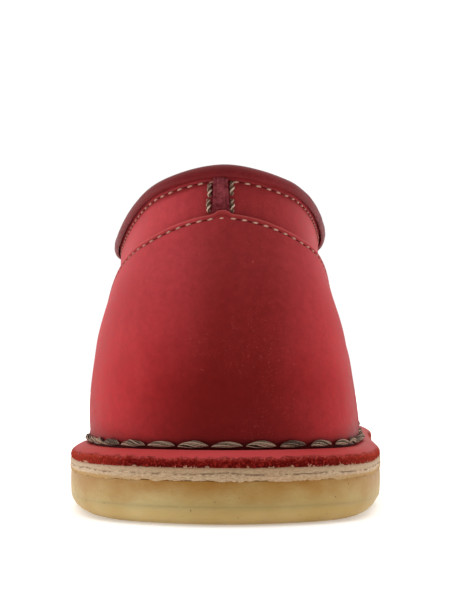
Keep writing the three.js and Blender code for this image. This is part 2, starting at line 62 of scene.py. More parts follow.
# Thickness of each leather
COUNTER_THICK = 1.25
QUARTER_THICK = 1.4
VAMP_THICK = 1.2
LINING_THICK = 1.5
BINDING_THICK = 0.85
STRIP_THICK = 1.7
TONGUE_THICK = 1.75

# Heights of the sole's layers at the heel, how much thinner the crepe gets towards the ball, half the gap
# that the solids keep between layers, and how far the tread's edge is rounded
CREPE_SEAM = 4.35
CREPE_HIGH = 10
CREPE_THINNER = 0.8
RUNNER_HIGH = 3.1
LIP_HIGH = 2.3
HALF_GAP = 0.15
TREAD_ROUND_IN = 6
TREAD_ROUND_UP = 4

# The tread's low arch and the spring of its toe: shares of the length, and heights
ARCH_FROM = 0.3
ARCH_LONG = 0.26
ARCH_HIGH = 1.2
SPRING_FROM = 0.67
SPRING_HIGH = 7

# Ribs of the binding's end, the quarter's front edge and the vamp's ends, and the way from rib to rib there
COLLAR_END = 3.75
FRONT = 5
VAMP_END = 4.8
RIB_RUN = 42

# Seams: distances from the edges that they follow, pitches, and the stitches' length, width and height
COUNTER_MARGIN = 1.05
COLLAR_MARGIN = 2.65
FACING_MARGIN = 2.6
FRONT_MARGINS = (2.1, 4.6)
COLLAR_PITCH = 2.75
SEAM_PITCH = 2.6
WELT_PITCH = 7.7
COLLAR_STITCH = (1.75, 0.5, 0.32)
FACING_STITCH = (1.7, 0.44, 0.32)
COUNTER_STITCH = (1.75, 0.5, 0.36)

# The counter's upper edge: heights of its sides and its arch in % of the back, the arch's half width in ribs,
# a beak on the back seam's rib, and the fall from a rib to the share of a rib where the counter ends
COUNTER_SIDE = 69.7
COUNTER_ARCH = 16.6
ARCH_HALF = 1.4
BACK_SEAM = -0.024
BEAK_HIGH = 1.15
BEAK_HALF = 0.1
FALL_FROM = 1.05
FALL_OVER = 2.65
COUNTER_END = 0.07

# Eyelet pairs from the throat up, by rib, how far below the edge they lie, and the radii of hole and lace
PAIRS = (4.84, 4.52, 4.2)
EYELET_DEPTH = 8.5
EYELET_HOLE = 2.3
LACE_RADIUS = 1.35

# Ribs from the heel along the outer side to the toe and back along the inner side:
# along and across in % of length and half ball width, lip width, swell, rise,
# crown (along, across, height in %), top (the same), and the measure of those heights
RIBS = [
    (0, -1.9, 8, 1.6, 22.6, 3.2, -2, 72, 5, -2.4, 100, BACK),
    (4.1, 51.5, 8, 2.4, 22.6, 5.8, 30, 69.4, 7, 24, 96.9, BACK),
    (14.8, 69.9, 8.1, 1.9, 22.6, 18.5, 37.6, 64.6, 20.1, 44, 90.4, BACK),
    (25.5, 75.9, 8.4, 1.6, 23, 30.2, 36.5, 64, 32.2, 40, 90.2, BACK),
    (35.6, 80, 6.8, 1.5, 27, 41, 50, 80, 44, 17.5, 96.5, INSTEP),
    (49.7, 87.6, 6.3, 1.5, 24, 53.7, 45, 71.5, 56.4, 10.3, 79.8, INSTEP),
    (66.5, 98.6, 5.5, 1.5, 20, 62.4, 40, 65.5, 57.4, 6, 79, INSTEP),
    (82.2, 86.5, 5.5, 1.5, 20, 73, 32, 59.5, 57.8, -1, 78.9, INSTEP),
    (94.6, 50, 5.8, 1.5, 20.5, 83, 18, 55, 57.95, -4.3, 78.9, INSTEP),
    (100, -8.4, 6, 1.5, 21, 85.6, -8.4, 53.5, 58, -7, 78.9, INSTEP),
    (95.4, -61, 5.8, 1.5, 20.5, 83.5, -34.8, 55, 57.95, -9.7, 78.9, INSTEP),
    (84.4, -92, 5.5, 1.5, 21, 74.3, -47, 59.5, 57.8, -12.9, 78.9, INSTEP),
    (69.5, -99.8, 5.5, 1.5, 22, 64.4, -50.5, 66.5, 57.4, -19.4, 79.1, INSTEP),
    (51, -76.6, 6.3, 2.5, 27, 54.4, -54, 74, 56.4, -23.4, 80, INSTEP),
    (35.6, -64.5, 6.6, 3, 29, 41, -61, 81, 44, -29, 97, INSTEP),
    (25.5, -74, 8.6, 2.6, 24, 30.2, -47.5, 65, 32.2, -50.5, 88.4, BACK),
    (14.8, -75.4, 7.9, 3.6, 22.6, 18.5, -49, 64.6, 20.1, -52.6, 86.4, BACK),
    (4.1, -55, 8, 2.8, 22.6, 5.8, -34.5, 69.4, 7, -28, 96.8, BACK),
]
ROUND = len(RIBS)

# Small steps, in ribs, that give the way along a curve
NUDGE = 0.002
OUTLINE_NUDGE = 0.0018

along, across, lip, swell, rise, *spots, measure = np.array(RIBS).T


def y_of(percent):
    return (percent / 100 - 0.5) * LENGTH


def x_of(percent):
    return percent / 100 * BALL_WIDTH / 2


def smooth(value, low, high):
    t = np.clip((value - low) / (high - low), 0, 1)
    return t * t * (3 - 2 * t)


def near(distance, place, width):
    """1 where a distance is at a place, falling softly to 0 away from it."""
    return np.exp(-((distance - place) / width) ** 2)


def unit(vectors):
    return vectors / np.linalg.norm(vectors, axis=-1, keepdims=True)


def matched(*values):
    """Numbers and arrays brought to one shape."""
    return np.broadcast_arrays(*(np.asarray(value, float) for value in values))


def walked(places, axis=0):
    """Millimetres along each row of points, counted from its first."""
    steps = np.linalg.norm(np.diff(places, axis=axis), axis=-1)
    return np.cumsum(np.insert(steps, 0, 0, axis=axis), axis=axis)


def tread(y):
    """Height of the sole's underside: a low arch, and the spring of the toe."""
    share = y / LENGTH + 0.5
    arch = np.clip((share - ARCH_FROM) / ARCH_LONG, 0, 1)
    spring = np.maximum(0, (share - SPRING_FROM) / (1 - SPRING_FROM))
    return ARCH_HIGH * np.sin(np.pi * arch) ** 2 + SPRING_HIGH * spring ** 2


def wedge_top(y):
    return tread(y) + CREPE_HIGH - CREPE_THINNER * smooth(y / LENGTH + 0.5, 0.2, 0.64)


def lip_low(y):
    return wedge_top(y) + RUNNER_HIGH


def lip_top(y):
    return lip_low(y) + LIP_HIGH


def ring(points, at, even=False):
    """A smooth closed curve through the points, read at places counted in points."""
    count = len(points)
    at = np.asarray(at, float)
    first = np.floor(at).astype(int)
    w = (at - first)[..., None]
    p0, p1, p2, p3 = (points[(first + k) % count] for k in (-1, 0, 1, 2))
    d0, d1, d2 = (1.0 if even else np.linalg.norm(q - p, axis=-1, keepdims=True) ** 0.5
                  for p, q in ((p0, p1), (p1, p2), (p2, p3)))
    t1 = d1 * ((p1 - p0) / d0 - (p2 - p0) / (d0 + d1) + (p2 - p1) / d1)
    t2 = d1 * ((p2 - p1) / d1 - (p3 - p1) / (d1 + d2) + (p3 - p2) / d2)
    return p1 + w * (t1 + w * (3 * (p2 - p1) - 2 * t1 - t2 + w * (2 * (p1 - p2) + t1 + t2)))


def fitted_feet():
    """The ribs' feet, fitted to the length and the ball's width."""
    feet = np.column_stack([x_of(across), y_of(along)])
    drawn = ring(feet, np.arange(ROUND * 40) / 40)
    low, high = drawn.min(0), drawn.max(0)
    return (feet - (low + high) / 2) * np.array([BALL_WIDTH, LENGTH]) / (high - low)


FEET = fitted_feet()


def sole_edge(u, inset):
    """The sole's outline at a rib, drawn in towards the foot."""
    way = unit(ring(FEET, u + OUTLINE_NUDGE) - ring(FEET, u - OUTLINE_NUDGE))
    return ring(FEET, u) + np.asarray(inset, float)[..., None] * np.stack([-way[..., 1], way[..., 0]], -1)


def sole_out(u):
    """The way out of the sole's outline, on the level."""
    return unit(sole_edge(u, 0) - sole_edge(u, 1))


def lip_width(u):
    return ring(lip[:, None], u, even=True)[..., 0]


def raised(flat, heights):
    return np.concatenate([flat, heights[..., None]], -1)


wall_feet = sole_edge(np.arange(ROUND), lip - swell)
WALL_RING = raised(wall_feet, lip_top(wall_feet[:, 1]) + rise)
CROWN_RING = np.column_stack([x_of(spots[1]), y_of(spots[0]), spots[2] * measure])
TOP_RING = np.column_stack([x_of(spots[4]), y_of(spots[3]), spots[5] * measure])


def last(u, s):
    """The last's surface: rib u, and share s of the way up it."""
    u, s = matched(u, s)
    foot = sole_edge(u, lip_width(u))
    foot = raised(foot, lip_top(foot[..., 1]))
    s = s[..., None]
    r = 1 - s
    return (foot * r ** 3 + 3 * r * r * s * ring(WALL_RING, u)
            + 3 * r * s * s * ring(CROWN_RING, u) + s ** 3 * ring(TOP_RING, u))


def outward(u, s):
    """The way out of the last's surface."""
    u, s = matched(u, s)
    round_way = last(u + NUDGE, s) - last(u - NUDGE, s)
    up_way = last(u, np.minimum(1, s + NUDGE)) - last(u, np.maximum(0, s - NUDGE))
    return unit(np.cross(round_way, up_way))


# Creases where the foot bends: along in %, side, depth, half width, slant;
# a trough is negative, and the leather swells into a ridge beside it
CREASES = [
    (63.4, 1, -0.45, 2.4, 0.16),
    (64.9, 1, 0.3, 2.6, 0.16),
    (66.6, 1, -0.6, 2.8, 0.1),
    (68.6, 1, 0.28, 3.2, 0.08),
    (70.9, 1, -0.4, 3, 0.03),
    (65.6, -1, -0.45, 2.6, -0.12),
    (67.4, -1, 0.3, 2.8, -0.1),
    (69.3, -1, -0.6, 2.8, -0.06),
    (71.6, -1, 0.28, 3.2, -0.04),
    (73.8, -1, -0.38, 3, 0),
]
VAMP_RIDGE = -4


def creased(u, s):
    """How far the worked leather stands off the last."""
    x, y, _ = np.moveaxis(last(u, s), -1, 0)
    middle = x - VAMP_RIDGE
    off = np.zeros_like(y)
    for place, side, depth, half, slant in CREASES:
        reach = smooth(side * middle, -14, 10) * (1 - 0.75 * smooth(np.abs(middle), 30, 48))
        off = off + depth * reach * near(y - y_of(place), slant * np.abs(middle), half)
    return off * smooth(s, 0.1, 0.3)


def skin(u, s, grow):
    """The last's surface, grown by the leather on it."""
    u, s, grow = matched(u, s, grow)
    return last(u, s) + outward(u, s) * (grow + creased(u, s))[..., None]


DOWN = np.linspace(1, 0, 241)


def share_below(u, depth):
    """The share of each rib that lies a length below its top."""
    lengths = walked(last(np.asarray(u, float)[:, None], DOWN[None, :]), axis=1)
    return np.array([np.interp(depth, length, DOWN) for length in lengths])


def share_at_height(u, height):
    """The share of each rib that lies at a height."""
    ribs = last(np.asarray(u, float)[:, None], DOWN[None, ::-1])[..., 2]
    return np.array([np.interp(h, z, DOWN[::-1]) for h, z in zip(height, ribs)])


def counter_top(u, beak=BEAK_HIGH):
    """Share of the rib where the heel counter's upper edge lies: an arch with a beak under the strip, then a
    fall to the waist."""
    u = np.asarray(u, float)
    arch = COUNTER_SIDE + COUNTER_ARCH * near(u, 0, ARCH_HALF)
    edge = share_at_height(u, (arch + beak * np.exp(-(np.abs(u - BACK_SEAM) / BEAK_HALF) ** 3)) * BACK)
    fall = np.clip((np.abs(u) - FALL_FROM) / FALL_OVER, 0, 1) ** 1.7
    return edge * (1 - fall) + COUNTER_END * fall


# Making pieces


def start(name, primitive, **sizes):
    """Adds a primitive as the one selected object."""
    bpy.ops.object.select_all(action="DESELECT")
    primitive(**sizes)
    piece = bpy.context.object
    piece.name = piece.data.name = name
    return piece


def placed(name, data):
    """Adds an object with this data."""
    piece = bpy.data.objects.new(name, data)
    data.name = name
    bpy.context.collection.objects.link(piece)
    return piece


def points_of(piece):
    points = np.empty(len(piece.data.vertices) * 3)
    piece.data.vertices.foreach_get("co", points)
    return points.reshape(-1, 3)


def set_points(piece, points):
    piece.data.vertices.foreach_set("co", np.ascontiguousarray(points, float).ravel())
    piece.data.update()


def wrapped(name, places, flat, closed=False, marks=None):
    """A grid whose points are set from places[column, row], with its UV map in millimetres from flat.

    marks: named values for each point, which its material reads."""
    columns, rows = places.shape[0] - 1, places.shape[1] - 1
    piece = start(name, bpy.ops.mesh.primitive_grid_add, x_subdivisions=columns, y_subdivisions=rows, size=1)
    grid = points_of(piece)
    i = np.rint((grid[:, 0] + 0.5) * columns).astype(int)
    j = np.rint((grid[:, 1] + 0.5) * rows).astype(int)
    set_points(piece, places[i, j] * MM)
    corners = np.empty(len(piece.data.loops), int)
    piece.data.loops.foreach_get("vertex_index", corners)
    piece.data.uv_layers.active.data.foreach_set("uv", flat[i, j][corners].ravel())
    for mark, values in (marks or {}).items():
        piece.data.attributes.new(mark, "FLOAT", "POINT").data.foreach_set("value", values[i, j])
    if closed:
        bpy.ops.object.mode_set(mode="EDIT")
        bpy.ops.mesh.select_all(action="SELECT")
        bpy.ops.mesh.remove_doubles(threshold=1e-6)
        bpy.ops.object.mode_set(mode="OBJECT")
    return piece


def by_run(run, marks):
    """UV places from millimetres along columns and marks along rows."""
    return np.stack(matched(run[:, None], marks), -1)


def laid_flat(places):
    """Millimetres along the middle row and up each column of a sheet."""
    return by_run(walked(places[:, places.shape[1] // 2]), walked(places, axis=1))


def worked(piece, kind, **settings):
    """Adds a modifier and applies it."""
    bpy.context.view_layer.objects.active = piece
    modifier = piece.modifiers.new(kind.lower(), kind)
    for key, value in settings.items():
        setattr(modifier, key, value)
    bpy.ops.object.modifier_apply(modifier=modifier.name)


def finished(piece, nodes, materials, angle):
    """Shades a piece smooth, gives it its materials and sets it on the shoe."""
    bpy.ops.object.select_all(action="DESELECT")
    piece.select_set(True)
    bpy.context.view_layer.objects.active = piece
    bpy.ops.object.shade_smooth_by_angle(angle=math.radians(angle))
    for kind in materials:
        piece.data.materials.append(kind)
    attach(piece, "root")
    if nodes:
        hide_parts(*nodes)


def sheet(name, places, thick, round_edge, nodes, materials, angle=50, closed=False, marks=None,
          punch=None):
    """A sheet of leather below the given face, with rounded edges, and with holes where it is punched.

    A second material is for its cut edges."""
    piece = wrapped(name, places, laid_flat(places), closed, marks)
    worked(piece, "SOLIDIFY", thickness=thick * MM, offset=-1, use_even_offset=True,
           material_offset_rim=len(materials) - 1)
    worked(piece, "BEVEL", width=round_edge * MM, segments=2, limit_method="ANGLE",
           angle_limit=math.radians(50), use_clamp_overlap=True)
    if punch:
        worked(piece, "BOOLEAN", object=punch, operation="DIFFERENCE", solver="EXACT")
    finished(piece, nodes, materials, angle)


def joined_copies(name, shapes, spots, kind):
    """One piece of copies of a few small shapes in turn: spots holds origins, and three axes for each."""
    points, cells, lays = [], [], []
    first = 0
    for k, (origin, axes) in enumerate(zip(*spots)):
        template, faces, lay = shapes[k % len(shapes)]
        points.append(origin + template @ axes)
        cells += [tuple(first + v for v in face) for face in faces]
        lays.append(lay)
        first += len(template)
    mesh = bpy.data.meshes.new(name)
    mesh.from_pydata((np.concatenate(points) * MM).tolist(), [], cells)
    # lay: the thread's material darkens where it is low, as painted shade.
    mesh.attributes.new("lay", "FLOAT", "POINT").data.foreach_set("value", np.concatenate(lays))
    finished(placed(name, mesh), [], [kind], 80)


# Materials

# Settings that a node of a kind has unless it is given others
USUAL = {"Mix": {"data_type": "RGBA"}, "Math": {"operation": "MULTIPLY"}}


def linear(code):
    """An sRGB hex colour as linear RGBA."""
    parts = [int(code[k:k + 2], 16) / 255 for k in (0, 2, 4)]
    return tuple(c / 12.92 if c <= 0.04045 else ((c + 0.055) / 1.055) ** 2.4 for c in parts) + (1,)


def node(tree, kind, inputs=(), out=None, **settings):
    """Adds a node with its settings and gives the named one of its outputs, or the first that is in use.

    inputs: by name, or in order of those in use; each is a socket to link, a hex colour or a plain value."""
    made = tree.nodes.new("ShaderNode" + kind)
    for key, value in (USUAL.get(kind, {}) | settings).items():
        setattr(made, key, value)
    by_name = isinstance(inputs, dict)
    sockets = made.inputs if by_name else [socket for socket in made.inputs if socket.enabled]
    for key, value in inputs.items() if by_name else enumerate(inputs):
        if isinstance(value, bpy.types.NodeSocket):
            tree.links.new(value, sockets[key])
        else:
            sockets[key].default_value = linear(value) if isinstance(value, str) else value
    return made.outputs[out] if out else next(socket for socket in made.outputs if socket.enabled)


def material(name, **constants):
    """A material whose shader has these constant sockets, and the function that adds nodes to it."""
    made = bpy.data.materials.new(name)
    made.use_nodes = True
    shader = made.node_tree.nodes["Principled BSDF"]
    for key, value in constants.items():
        shader.inputs[key.replace("_", " ")].default_value = value
    return made, functools.partial(node, made.node_tree)


def fed(made, **sockets):
    """A material with these sockets linked to its shader."""
    shader = made.node_tree.nodes["Principled BSDF"]
    for key, socket in sockets.items():
        made.node_tree.links.new(socket, shader.inputs[key.replace("_", " ")])
    return made


def per(millimetres):
    """Scale of a pattern whose repeat is this long, on coordinates in metres."""
    return 1 / (millimetres * MM)


def from_middle(add, spot):
    """How far a spot lies from the shoe's middle, to either side, in metres."""
    return add("Math", (add("SeparateXYZ", (spot,), "X"),), operation="ABSOLUTE")


def mixed_towards(add, colour, second_colour, value, low, high, most=1.0):
    """A colour that turns to another, up to a share, where a value goes from low to high."""
    return add("Mix", (add("MapRange", (value, low, high, 0, most)), colour, second_colour))


def shaded_and_burnished(add, colour, spot, climb, strength):
    """Painted light and shade on the calf, with a burnish: a painted sheen that pales the back higher up,
    painted shade together with a burnish that darkens the heel and leans outwards with height, painted shade
    along the foot, along the seams and under the binding, darker painted shade in the crease over the sole,
    and a pale painted highlight along cut edges."""
    x = add("SeparateXYZ", (spot,), "X")
    y = add("SeparateXYZ", (spot,), "Y")
    # Painted sheen: the back turns paler and pinker higher up.
    high = add("MapRange", (climb, 16, 44, 0, 0.45))
    rear = add("MapRange", (y, -0.1, -0.05, 1, 0))
    painted_sheen = add("Math", (high, rear))
    colour = add("Mix", (painted_sheen, colour, "a5464b"))
    # Painted shade and a burnish: the heel's back darkens, most low down, leaning outwards with height.
    lean = add("Math", (climb, -0.00007, x), operation="MULTIPLY_ADD")
    off = add("Math", (lean, 0.0005), operation="SUBTRACT")
    aside = add("Math", (off,), operation="ABSOLUTE")
    narrow = add("MapRange", (climb, 4, 44, 0.9, 1.4))
    wide = add("Math", (aside, narrow))
    back = add("MapRange", (wide, 0.004, 0.029, strength, 0), interpolation_type="SMOOTHSTEP")
    heel = add("MapRange", (y, -0.125, -0.095, 1, 0), interpolation_type="SMOOTHSTEP")
    darkening = add("Math", (back, heel))
    fade = add("MapRange", (climb, 16, 56, 1, 0.65))
    darkening = add("Math", (darkening, fade))
    # Painted shade just over the sole, along the seams and under the binding, towards dark red.
    foot = add("MapRange", (climb, 2, 8.5, 0.7 * strength, 0), interpolation_type="SMOOTHSTEP")
    seam_shade = add("Attribute", out="Fac", attribute_name="seam_shade")
    seam_and_foot_shade = add("Math", (seam_shade, 0.5, foot), operation="MULTIPLY_ADD")
    dark = add("Math", (darkening, seam_and_foot_shade), operation="MAXIMUM")
    colour = add("Mix", (dark, colour, "5e100c"))
    # Darker painted shade in the crease over the sole.
    crease_shade = add("MapRange", (climb, 2, 4.3, 0.88, 0), interpolation_type="SMOOTHSTEP")
    colour = add("Mix", (crease_shade, colour, "330604"))
    # A pale painted highlight along the cut edges.
    edge = add("Attribute", out="Fac", attribute_name="edge")
    edge_highlight = add("Math", (edge, 0.35))
    return add("Mix", (edge_highlight, colour, "cf6a60"))


def waxed_leather(name, deep, mid, bright, rough, wax, shade_and_burnish=0.0):
    """Chrome-tanned calf leather, dyed through and waxed: nearly smooth, with pores, cloudy dye, a fine
    mottle, faint streaks from the glazing cylinder and a few pale scuffs; the wax gives a broad dull shine.
    Pores, mottle and dust are drawn coarser than real ones, to show. UV v is the height over its foot."""
    made, add = material(name, IOR=1.4, Specular_IOR_Level=wax)
    spot = add("TexCoord", out="Object")
    climb = add("SeparateXYZ", (add("TexCoord", out="UV"),), "Y")
    streak = add("Mapping", {"Vector": spot, "Scale": (1, 1, 0.22)})
    cloud = add("TexNoise", (spot, per(24), 3, 0.55))
    glaze = add("TexNoise", (streak, per(3.4), 4, 0.6))
    mottle = add("TexNoise", (spot, per(1.7), 5, 0.72))
    grain = add("TexVoronoi", (spot, per(0.9)))
    pores = add("TexNoise", (spot, per(0.55), 3))
    scuff = add("TexNoise", (spot, per(1.3), 3, 0.7))
    dust = add("TexNoise", (spot, per(0.45), 2, 0.6))
    colour = mixed_towards(add, deep, mid, cloud, 0.34, 0.68)
    colour = mixed_towards(add, colour, bright, glaze, 0.5, 0.8, 0.16)
    if shade_and_burnish:
        colour = shaded_and_burnished(add, colour, spot, climb, shade_and_burnish)
    flecks = add("MapRange", (mottle, 0.36, 0.64, 0.91, 1.09))
    # Painted light: brighter higher up, where more light falls from above.
    painted_top_light = add("MapRange", (climb, 4, 44, 0.97, 1.15))
    # Painted shade: darker towards the toe.
    ahead = add("MapRange", (add("SeparateXYZ", (spot,), "Y"), -0.075, -0.01, 1, 0.84))
    value = add("Math", (flecks, painted_top_light))
    value = add("Math", (value, ahead))
    flecked = add("HueSaturation", {"Value": value, "Color": colour})
    specks = add("MapRange", (scuff, 0.7, 0.78, 0, 0.5))
    spread = add("MapRange", (cloud, 0.46, 0.64, 0, 0.26))
    grains = add("MapRange", (dust, 0.58, 0.72))
    dusty = add("Math", (spread, grains, specks), operation="MULTIPLY_ADD")
    worn = add("Mix", (dusty, flecked, "b2554e"))
    shine = add("MapRange", (mottle, 0.3, 0.7, rough - 0.08, rough + 0.12))
    relief = add("Math", (grain, pores), operation="ADD")
    bump = add("Bump", {"Height": relief, "Strength": 0.09, "Distance": 0.0002})
    return fed(made, Base_Color=worn, Roughness=shine, Normal=bump)


def cut_leather(name, dark, light, fuzz):
    """The cut edge or flesh side of leather: matt packed fibres that catch the light in points, drawn
    coarser than real ones, to show."""
    made, add = material(name, Roughness=0.88, IOR=1.4, Specular_IOR_Level=0.2)
    spot = add("TexCoord", out="Object")
    fibre = add("TexNoise", (spot, per(fuzz), 4, 0.7))
    clump = add("TexNoise", (spot, per(fuzz * 5), 2))
    both = add("Math", (fibre, clump), operation="ADD")
    body = mixed_towards(add, dark, light, both, 0.78, 1.3)
    bump = add("Bump", {"Height": fibre, "Strength": 0.7, "Distance": 0.0003})
    return fed(made, Base_Color=body, Normal=bump)


def turned_edge_leather():
    """The same calf leather where it is turned out on the sole: glossy on top, and fibrous and ragged where
    it is cut, with a pale fringe below. Towards the sides its top is darkened with painted shade, and its cut
    edge is lightened with painted light. The fibres are drawn coarser than real ones, to show. The border
    runs unevenly along the edge; UV v is the way over the edge, in mm."""
    made, add = material("turned-out waxed calf", IOR=1.4, Specular_IOR_Level=0.04)
    spot = add("TexCoord", out="Object")
    over = add("SeparateXYZ", (add("TexCoord", out="UV"),), "Y")
    aside = from_middle(add, spot)
    fibre = add("TexNoise", (spot, per(0.62), 3, 0.75))
    clump = add("TexNoise", (spot, per(3.2), 3))
    cloud = add("TexNoise", (spot, per(16), 3))
    ragged = add("Math", (fibre, 2.8, over), operation="MULTIPLY_ADD")
    uneven = add("Math", (clump, 2, ragged), operation="MULTIPLY_ADD")
    cut = add("MapRange", (uneven, 2.5, 2.8))
    top = add("Mix", (cloud, "be3d3f", "d45254"))
    # Painted shade: the top darkens towards the sides.
    top = mixed_towards(add, top, "962413", aside, 0.008, 0.034, 0.6)
    upper = mixed_towards(add, "861812", "e4685c", fibre, 0.47, 0.66)
    lower = mixed_towards(add, "5c0d09", "a82c24", fibre, 0.47, 0.66)
    fuzz = mixed_towards(add, upper, lower, uneven, 3, 3.6)
    # Painted light: the cut edge turns lighter towards the sides.
    fuzz = mixed_towards(add, fuzz, "c4452f", aside, 0.022, 0.038, 0.5)
    body = add("Mix", (cut, top, fuzz))
    body = mixed_towards(add, body, "c59a7e", uneven, 4.75, 5)
    shine = add("MapRange", (cut, 0, 1, 0.46, 0.9))
    depth = add("Math", (cut, fibre))
    bump = add("Bump", {"Height": depth, "Strength": 1, "Distance": 0.0008})
    return fed(made, Base_Color=body, Roughness=shine, Normal=bump)


def runner_leather():
    """Vegetable-tanned leather runner, cut and left raw: pale beige fibres with a broken dark line where its
    two layers are glued. Red dye has bled into its top, its sides are paler with painted light, and cement is
    smeared along their lower edge. The fibres are drawn coarser than real ones, to show.
    UV v is the height over its lower edge, in millimetres."""
    made, add = material("raw cut runner leather", Roughness=0.92, IOR=1.4, Specular_IOR_Level=0.1)
    spot = add("TexCoord", out="Object")
    flat = add("TexCoord", out="UV")
    up = add("SeparateXYZ", (flat,), "Y")
    aside = from_middle(add, spot)
    lay = add("Mapping", {"Vector": flat, "Scale": (0.8, 2.2, 1)})
    fibre = add("TexNoise", (lay, 1.3, 5, 0.7))
    patch = add("TexNoise", (spot, per(8), 3))
    tear = add("TexNoise", (spot, per(2.4), 4, 0.65))
    frayed = add("Math", (fibre, 1.2, up), operation="MULTIPLY_ADD")
    wander = add("Math", (patch, 1.6, up), operation="MULTIPLY_ADD")
    body = mixed_towards(add, "a28160", "d6bb98", fibre, 0.34, 0.66)
    body = mixed_towards(add, body, "c69a74", patch, 0.52, 0.72, 0.45)
    body = mixed_towards(add, body, "ab5a49", frayed, 2.75, 3.5, 0.6)
    body = mixed_towards(add, body, "93775a", wander, 2.1, 2.6, 0.3)
    # Painted light: paler towards the sides.
    body = mixed_towards(add, body, "d8c9b6", aside, 0.014, 0.036, 0.28)
    hem = add("Math", (fibre, 0.8, up), operation="MULTIPLY_ADD")
    low = add("MapRange", (hem, 1.2, 0.8))
    reach = add("MapRange", (aside, 0.012, 0.03, 0, 0.85))
    smear = add("Math", (low, reach))
    body = add("Mix", (smear, body, "b08a54"))
    torn = add("Math", (tear, 1, wander), operation="MULTIPLY_ADD")
    away = add("Math", (torn, 2.75), operation="SUBTRACT")
    line = add("MapRange", (add("Math", (away,), operation="ABSOLUTE"), 0.3, 0.05))
    broken = add("MapRange", (tear, 0.42, 0.56, 0, 0.8))
    glue = add("Math", (line, broken))
    body = add("Mix", (glue, body, "6b4f3c"))
    bump = add("Bump", {"Height": fibre, "Strength": 0.5, "Distance": 0.0004})
    return fed(made, Base_Color=body, Normal=bump)


def crepe_rubber():
    """Natural plantation crepe, pressed from sheets and cut: light goes into it and comes out honey-coloured.
    It is browner under the runner and greener towards the floor, with cloudy blotches, bark specks, a faint
    line where its slabs are pressed together, painted shade that darkens its sides, and a crinkled skin.
    UV v is the height over the floor side, in millimetres."""
    made, add = material("natural crepe rubber", Roughness=0.52, IOR=1.5, Specular_IOR_Level=0.2,
                         Subsurface_Weight=0.35, Subsurface_Radius=(0.006, 0.0035, 0.0012),
                         Subsurface_Scale=1)
    spot = add("TexCoord", out="Object")
    up = add("SeparateXYZ", (add("TexCoord", out="UV"),), "Y")
    lay = add("Mapping", {"Vector": spot, "Scale": (1, 1, 1.7)})
    blotch = add("TexNoise", (lay, per(6), 4, 0.6))
    milk = add("TexNoise", (spot, per(17), 2))
    speck = add("TexNoise", (spot, per(0.9), 1))
    crinkle = add("TexNoise", {"Vector": lay, "Scale": per(1.6), "Detail": 5, "Roughness": 0.6,
                               "Distortion": 0.6})
    rising = add("Math", (blotch, 7, up), operation="MULTIPLY_ADD")
    body = mixed_towards(add, "b49456", "c5ac76", milk, 0.36, 0.66)
    body = mixed_towards(add, body, "a16d28", rising, 8.5, 14.2)
    pressed = add("Math", (milk, 0.5, up), operation="MULTIPLY_ADD")
    join = add("Math", (pressed, 4.6), operation="SUBTRACT")
    line = add("MapRange", (add("Math", (join,), operation="ABSOLUTE"), 0.05, 0.3, 0.12, 0))
    body = add("Mix", (line, body, "94702f"))
    # Painted shade: darker towards the sides.
    body = mixed_towards(add, body, "8f7448", from_middle(add, spot), 0.02, 0.038, 0.3)
    body = mixed_towards(add, body, "5d4020", speck, 0.765, 0.785, 0.7)
    bump = add("Bump", {"Height": crinkle, "Strength": 0.35, "Distance": 0.0006})
    return fed(made, Base_Color=body, Normal=bump)


def spun_thread(name, dark, light, ply, darkening=0.0):
    """Waxed spun thread: matt fibres, drawn coarser than real ones, to show. The attribute lay is 1 on the
    crown of a strand and 0 between strands, and where it is low the thread is darker: painted shade between
    the strands and where a stitch dips into the leather. Towards the sides of the heel it turns darker red,
    by a given share."""
    made, add = material(name, Roughness=0.85, IOR=1.45, Specular_IOR_Level=0.2)
    spot = add("TexCoord", out="Object")
    fibre = add("TexNoise", (spot, per(ply), 4, 0.7))
    lay = add("Attribute", out="Fac", attribute_name="lay")
    both = add("Math", (fibre, 0.7, lay), operation="MULTIPLY_ADD")
    body = mixed_towards(add, dark, light, both, 0.86, 1.24)
    body = mixed_towards(add, body, "862b2a", from_middle(add, spot), 0.01, 0.03, darkening)
    bump = add("Bump", {"Height": fibre, "Strength": 0.5, "Distance": 0.0002})
    return fed(made, Base_Color=body, Normal=bump)


def lining_leather(name, dark, light, rough):
    """Vegetable-tanned lining leather: warm, matt and open-pored."""
    made, add = material(name, IOR=1.45)
    spot = add("TexCoord", out="Object")
    cloud = add("TexNoise", (spot, per(22), 4))
    pores = add("TexVoronoi", (spot, per(1.1)))
    body = mixed_towards(add, dark, light, cloud, 0.34, 0.68)
    shine = add("MapRange", (cloud, 0, 1, rough, rough + 0.2))
    bump = add("Bump", {"Height": pores, "Strength": 0.2, "Distance": 0.0002})
    return fed(made, Base_Color=body, Roughness=shine, Normal=bump)


def aged_brass():
    """Stamped brass, browned by age: a metal, brighter and smoother in patches."""
    made, add = material("aged brass", Metallic=1)
    tarnish = add("TexNoise", (add("TexCoord", out="Object"), per(1.6), 4))
    body = mixed_towards(add, "6e5530", "a4854c", tarnish, 0.35, 0.65)
    shine = add("MapRange", (tarnish, 0, 1, 0.5, 0.28))
    return fed(made, Base_Color=body, Roughness=shine)


def braided_lace():
    """Waxed cotton braid: crossing strands about 1 mm wide. UV u runs along the lace, v round it, in mm."""
    made, add = material("waxed cotton braid", Roughness=0.72, IOR=1.46, Sheen_Weight=0.2)
    flat = add("TexCoord", out="UV")
    strands = []
    for degrees in (45, -45):
        turned = add("Mapping", {"Vector": flat, "Rotation": (0, 0, math.radians(degrees))})
        strands.append(add("TexWave", (turned, 0.31, 0.3), "Fac"))
    cross = add("Math", strands, operation="MAXIMUM")
    body = add("Mix", (cross, "3c0f12", "74252a"))
    bump = add("Bump", {"Height": cross, "Strength": 0.6, "Distance": 0.0003})
    return fed(made, Base_Color=body, Normal=bump)


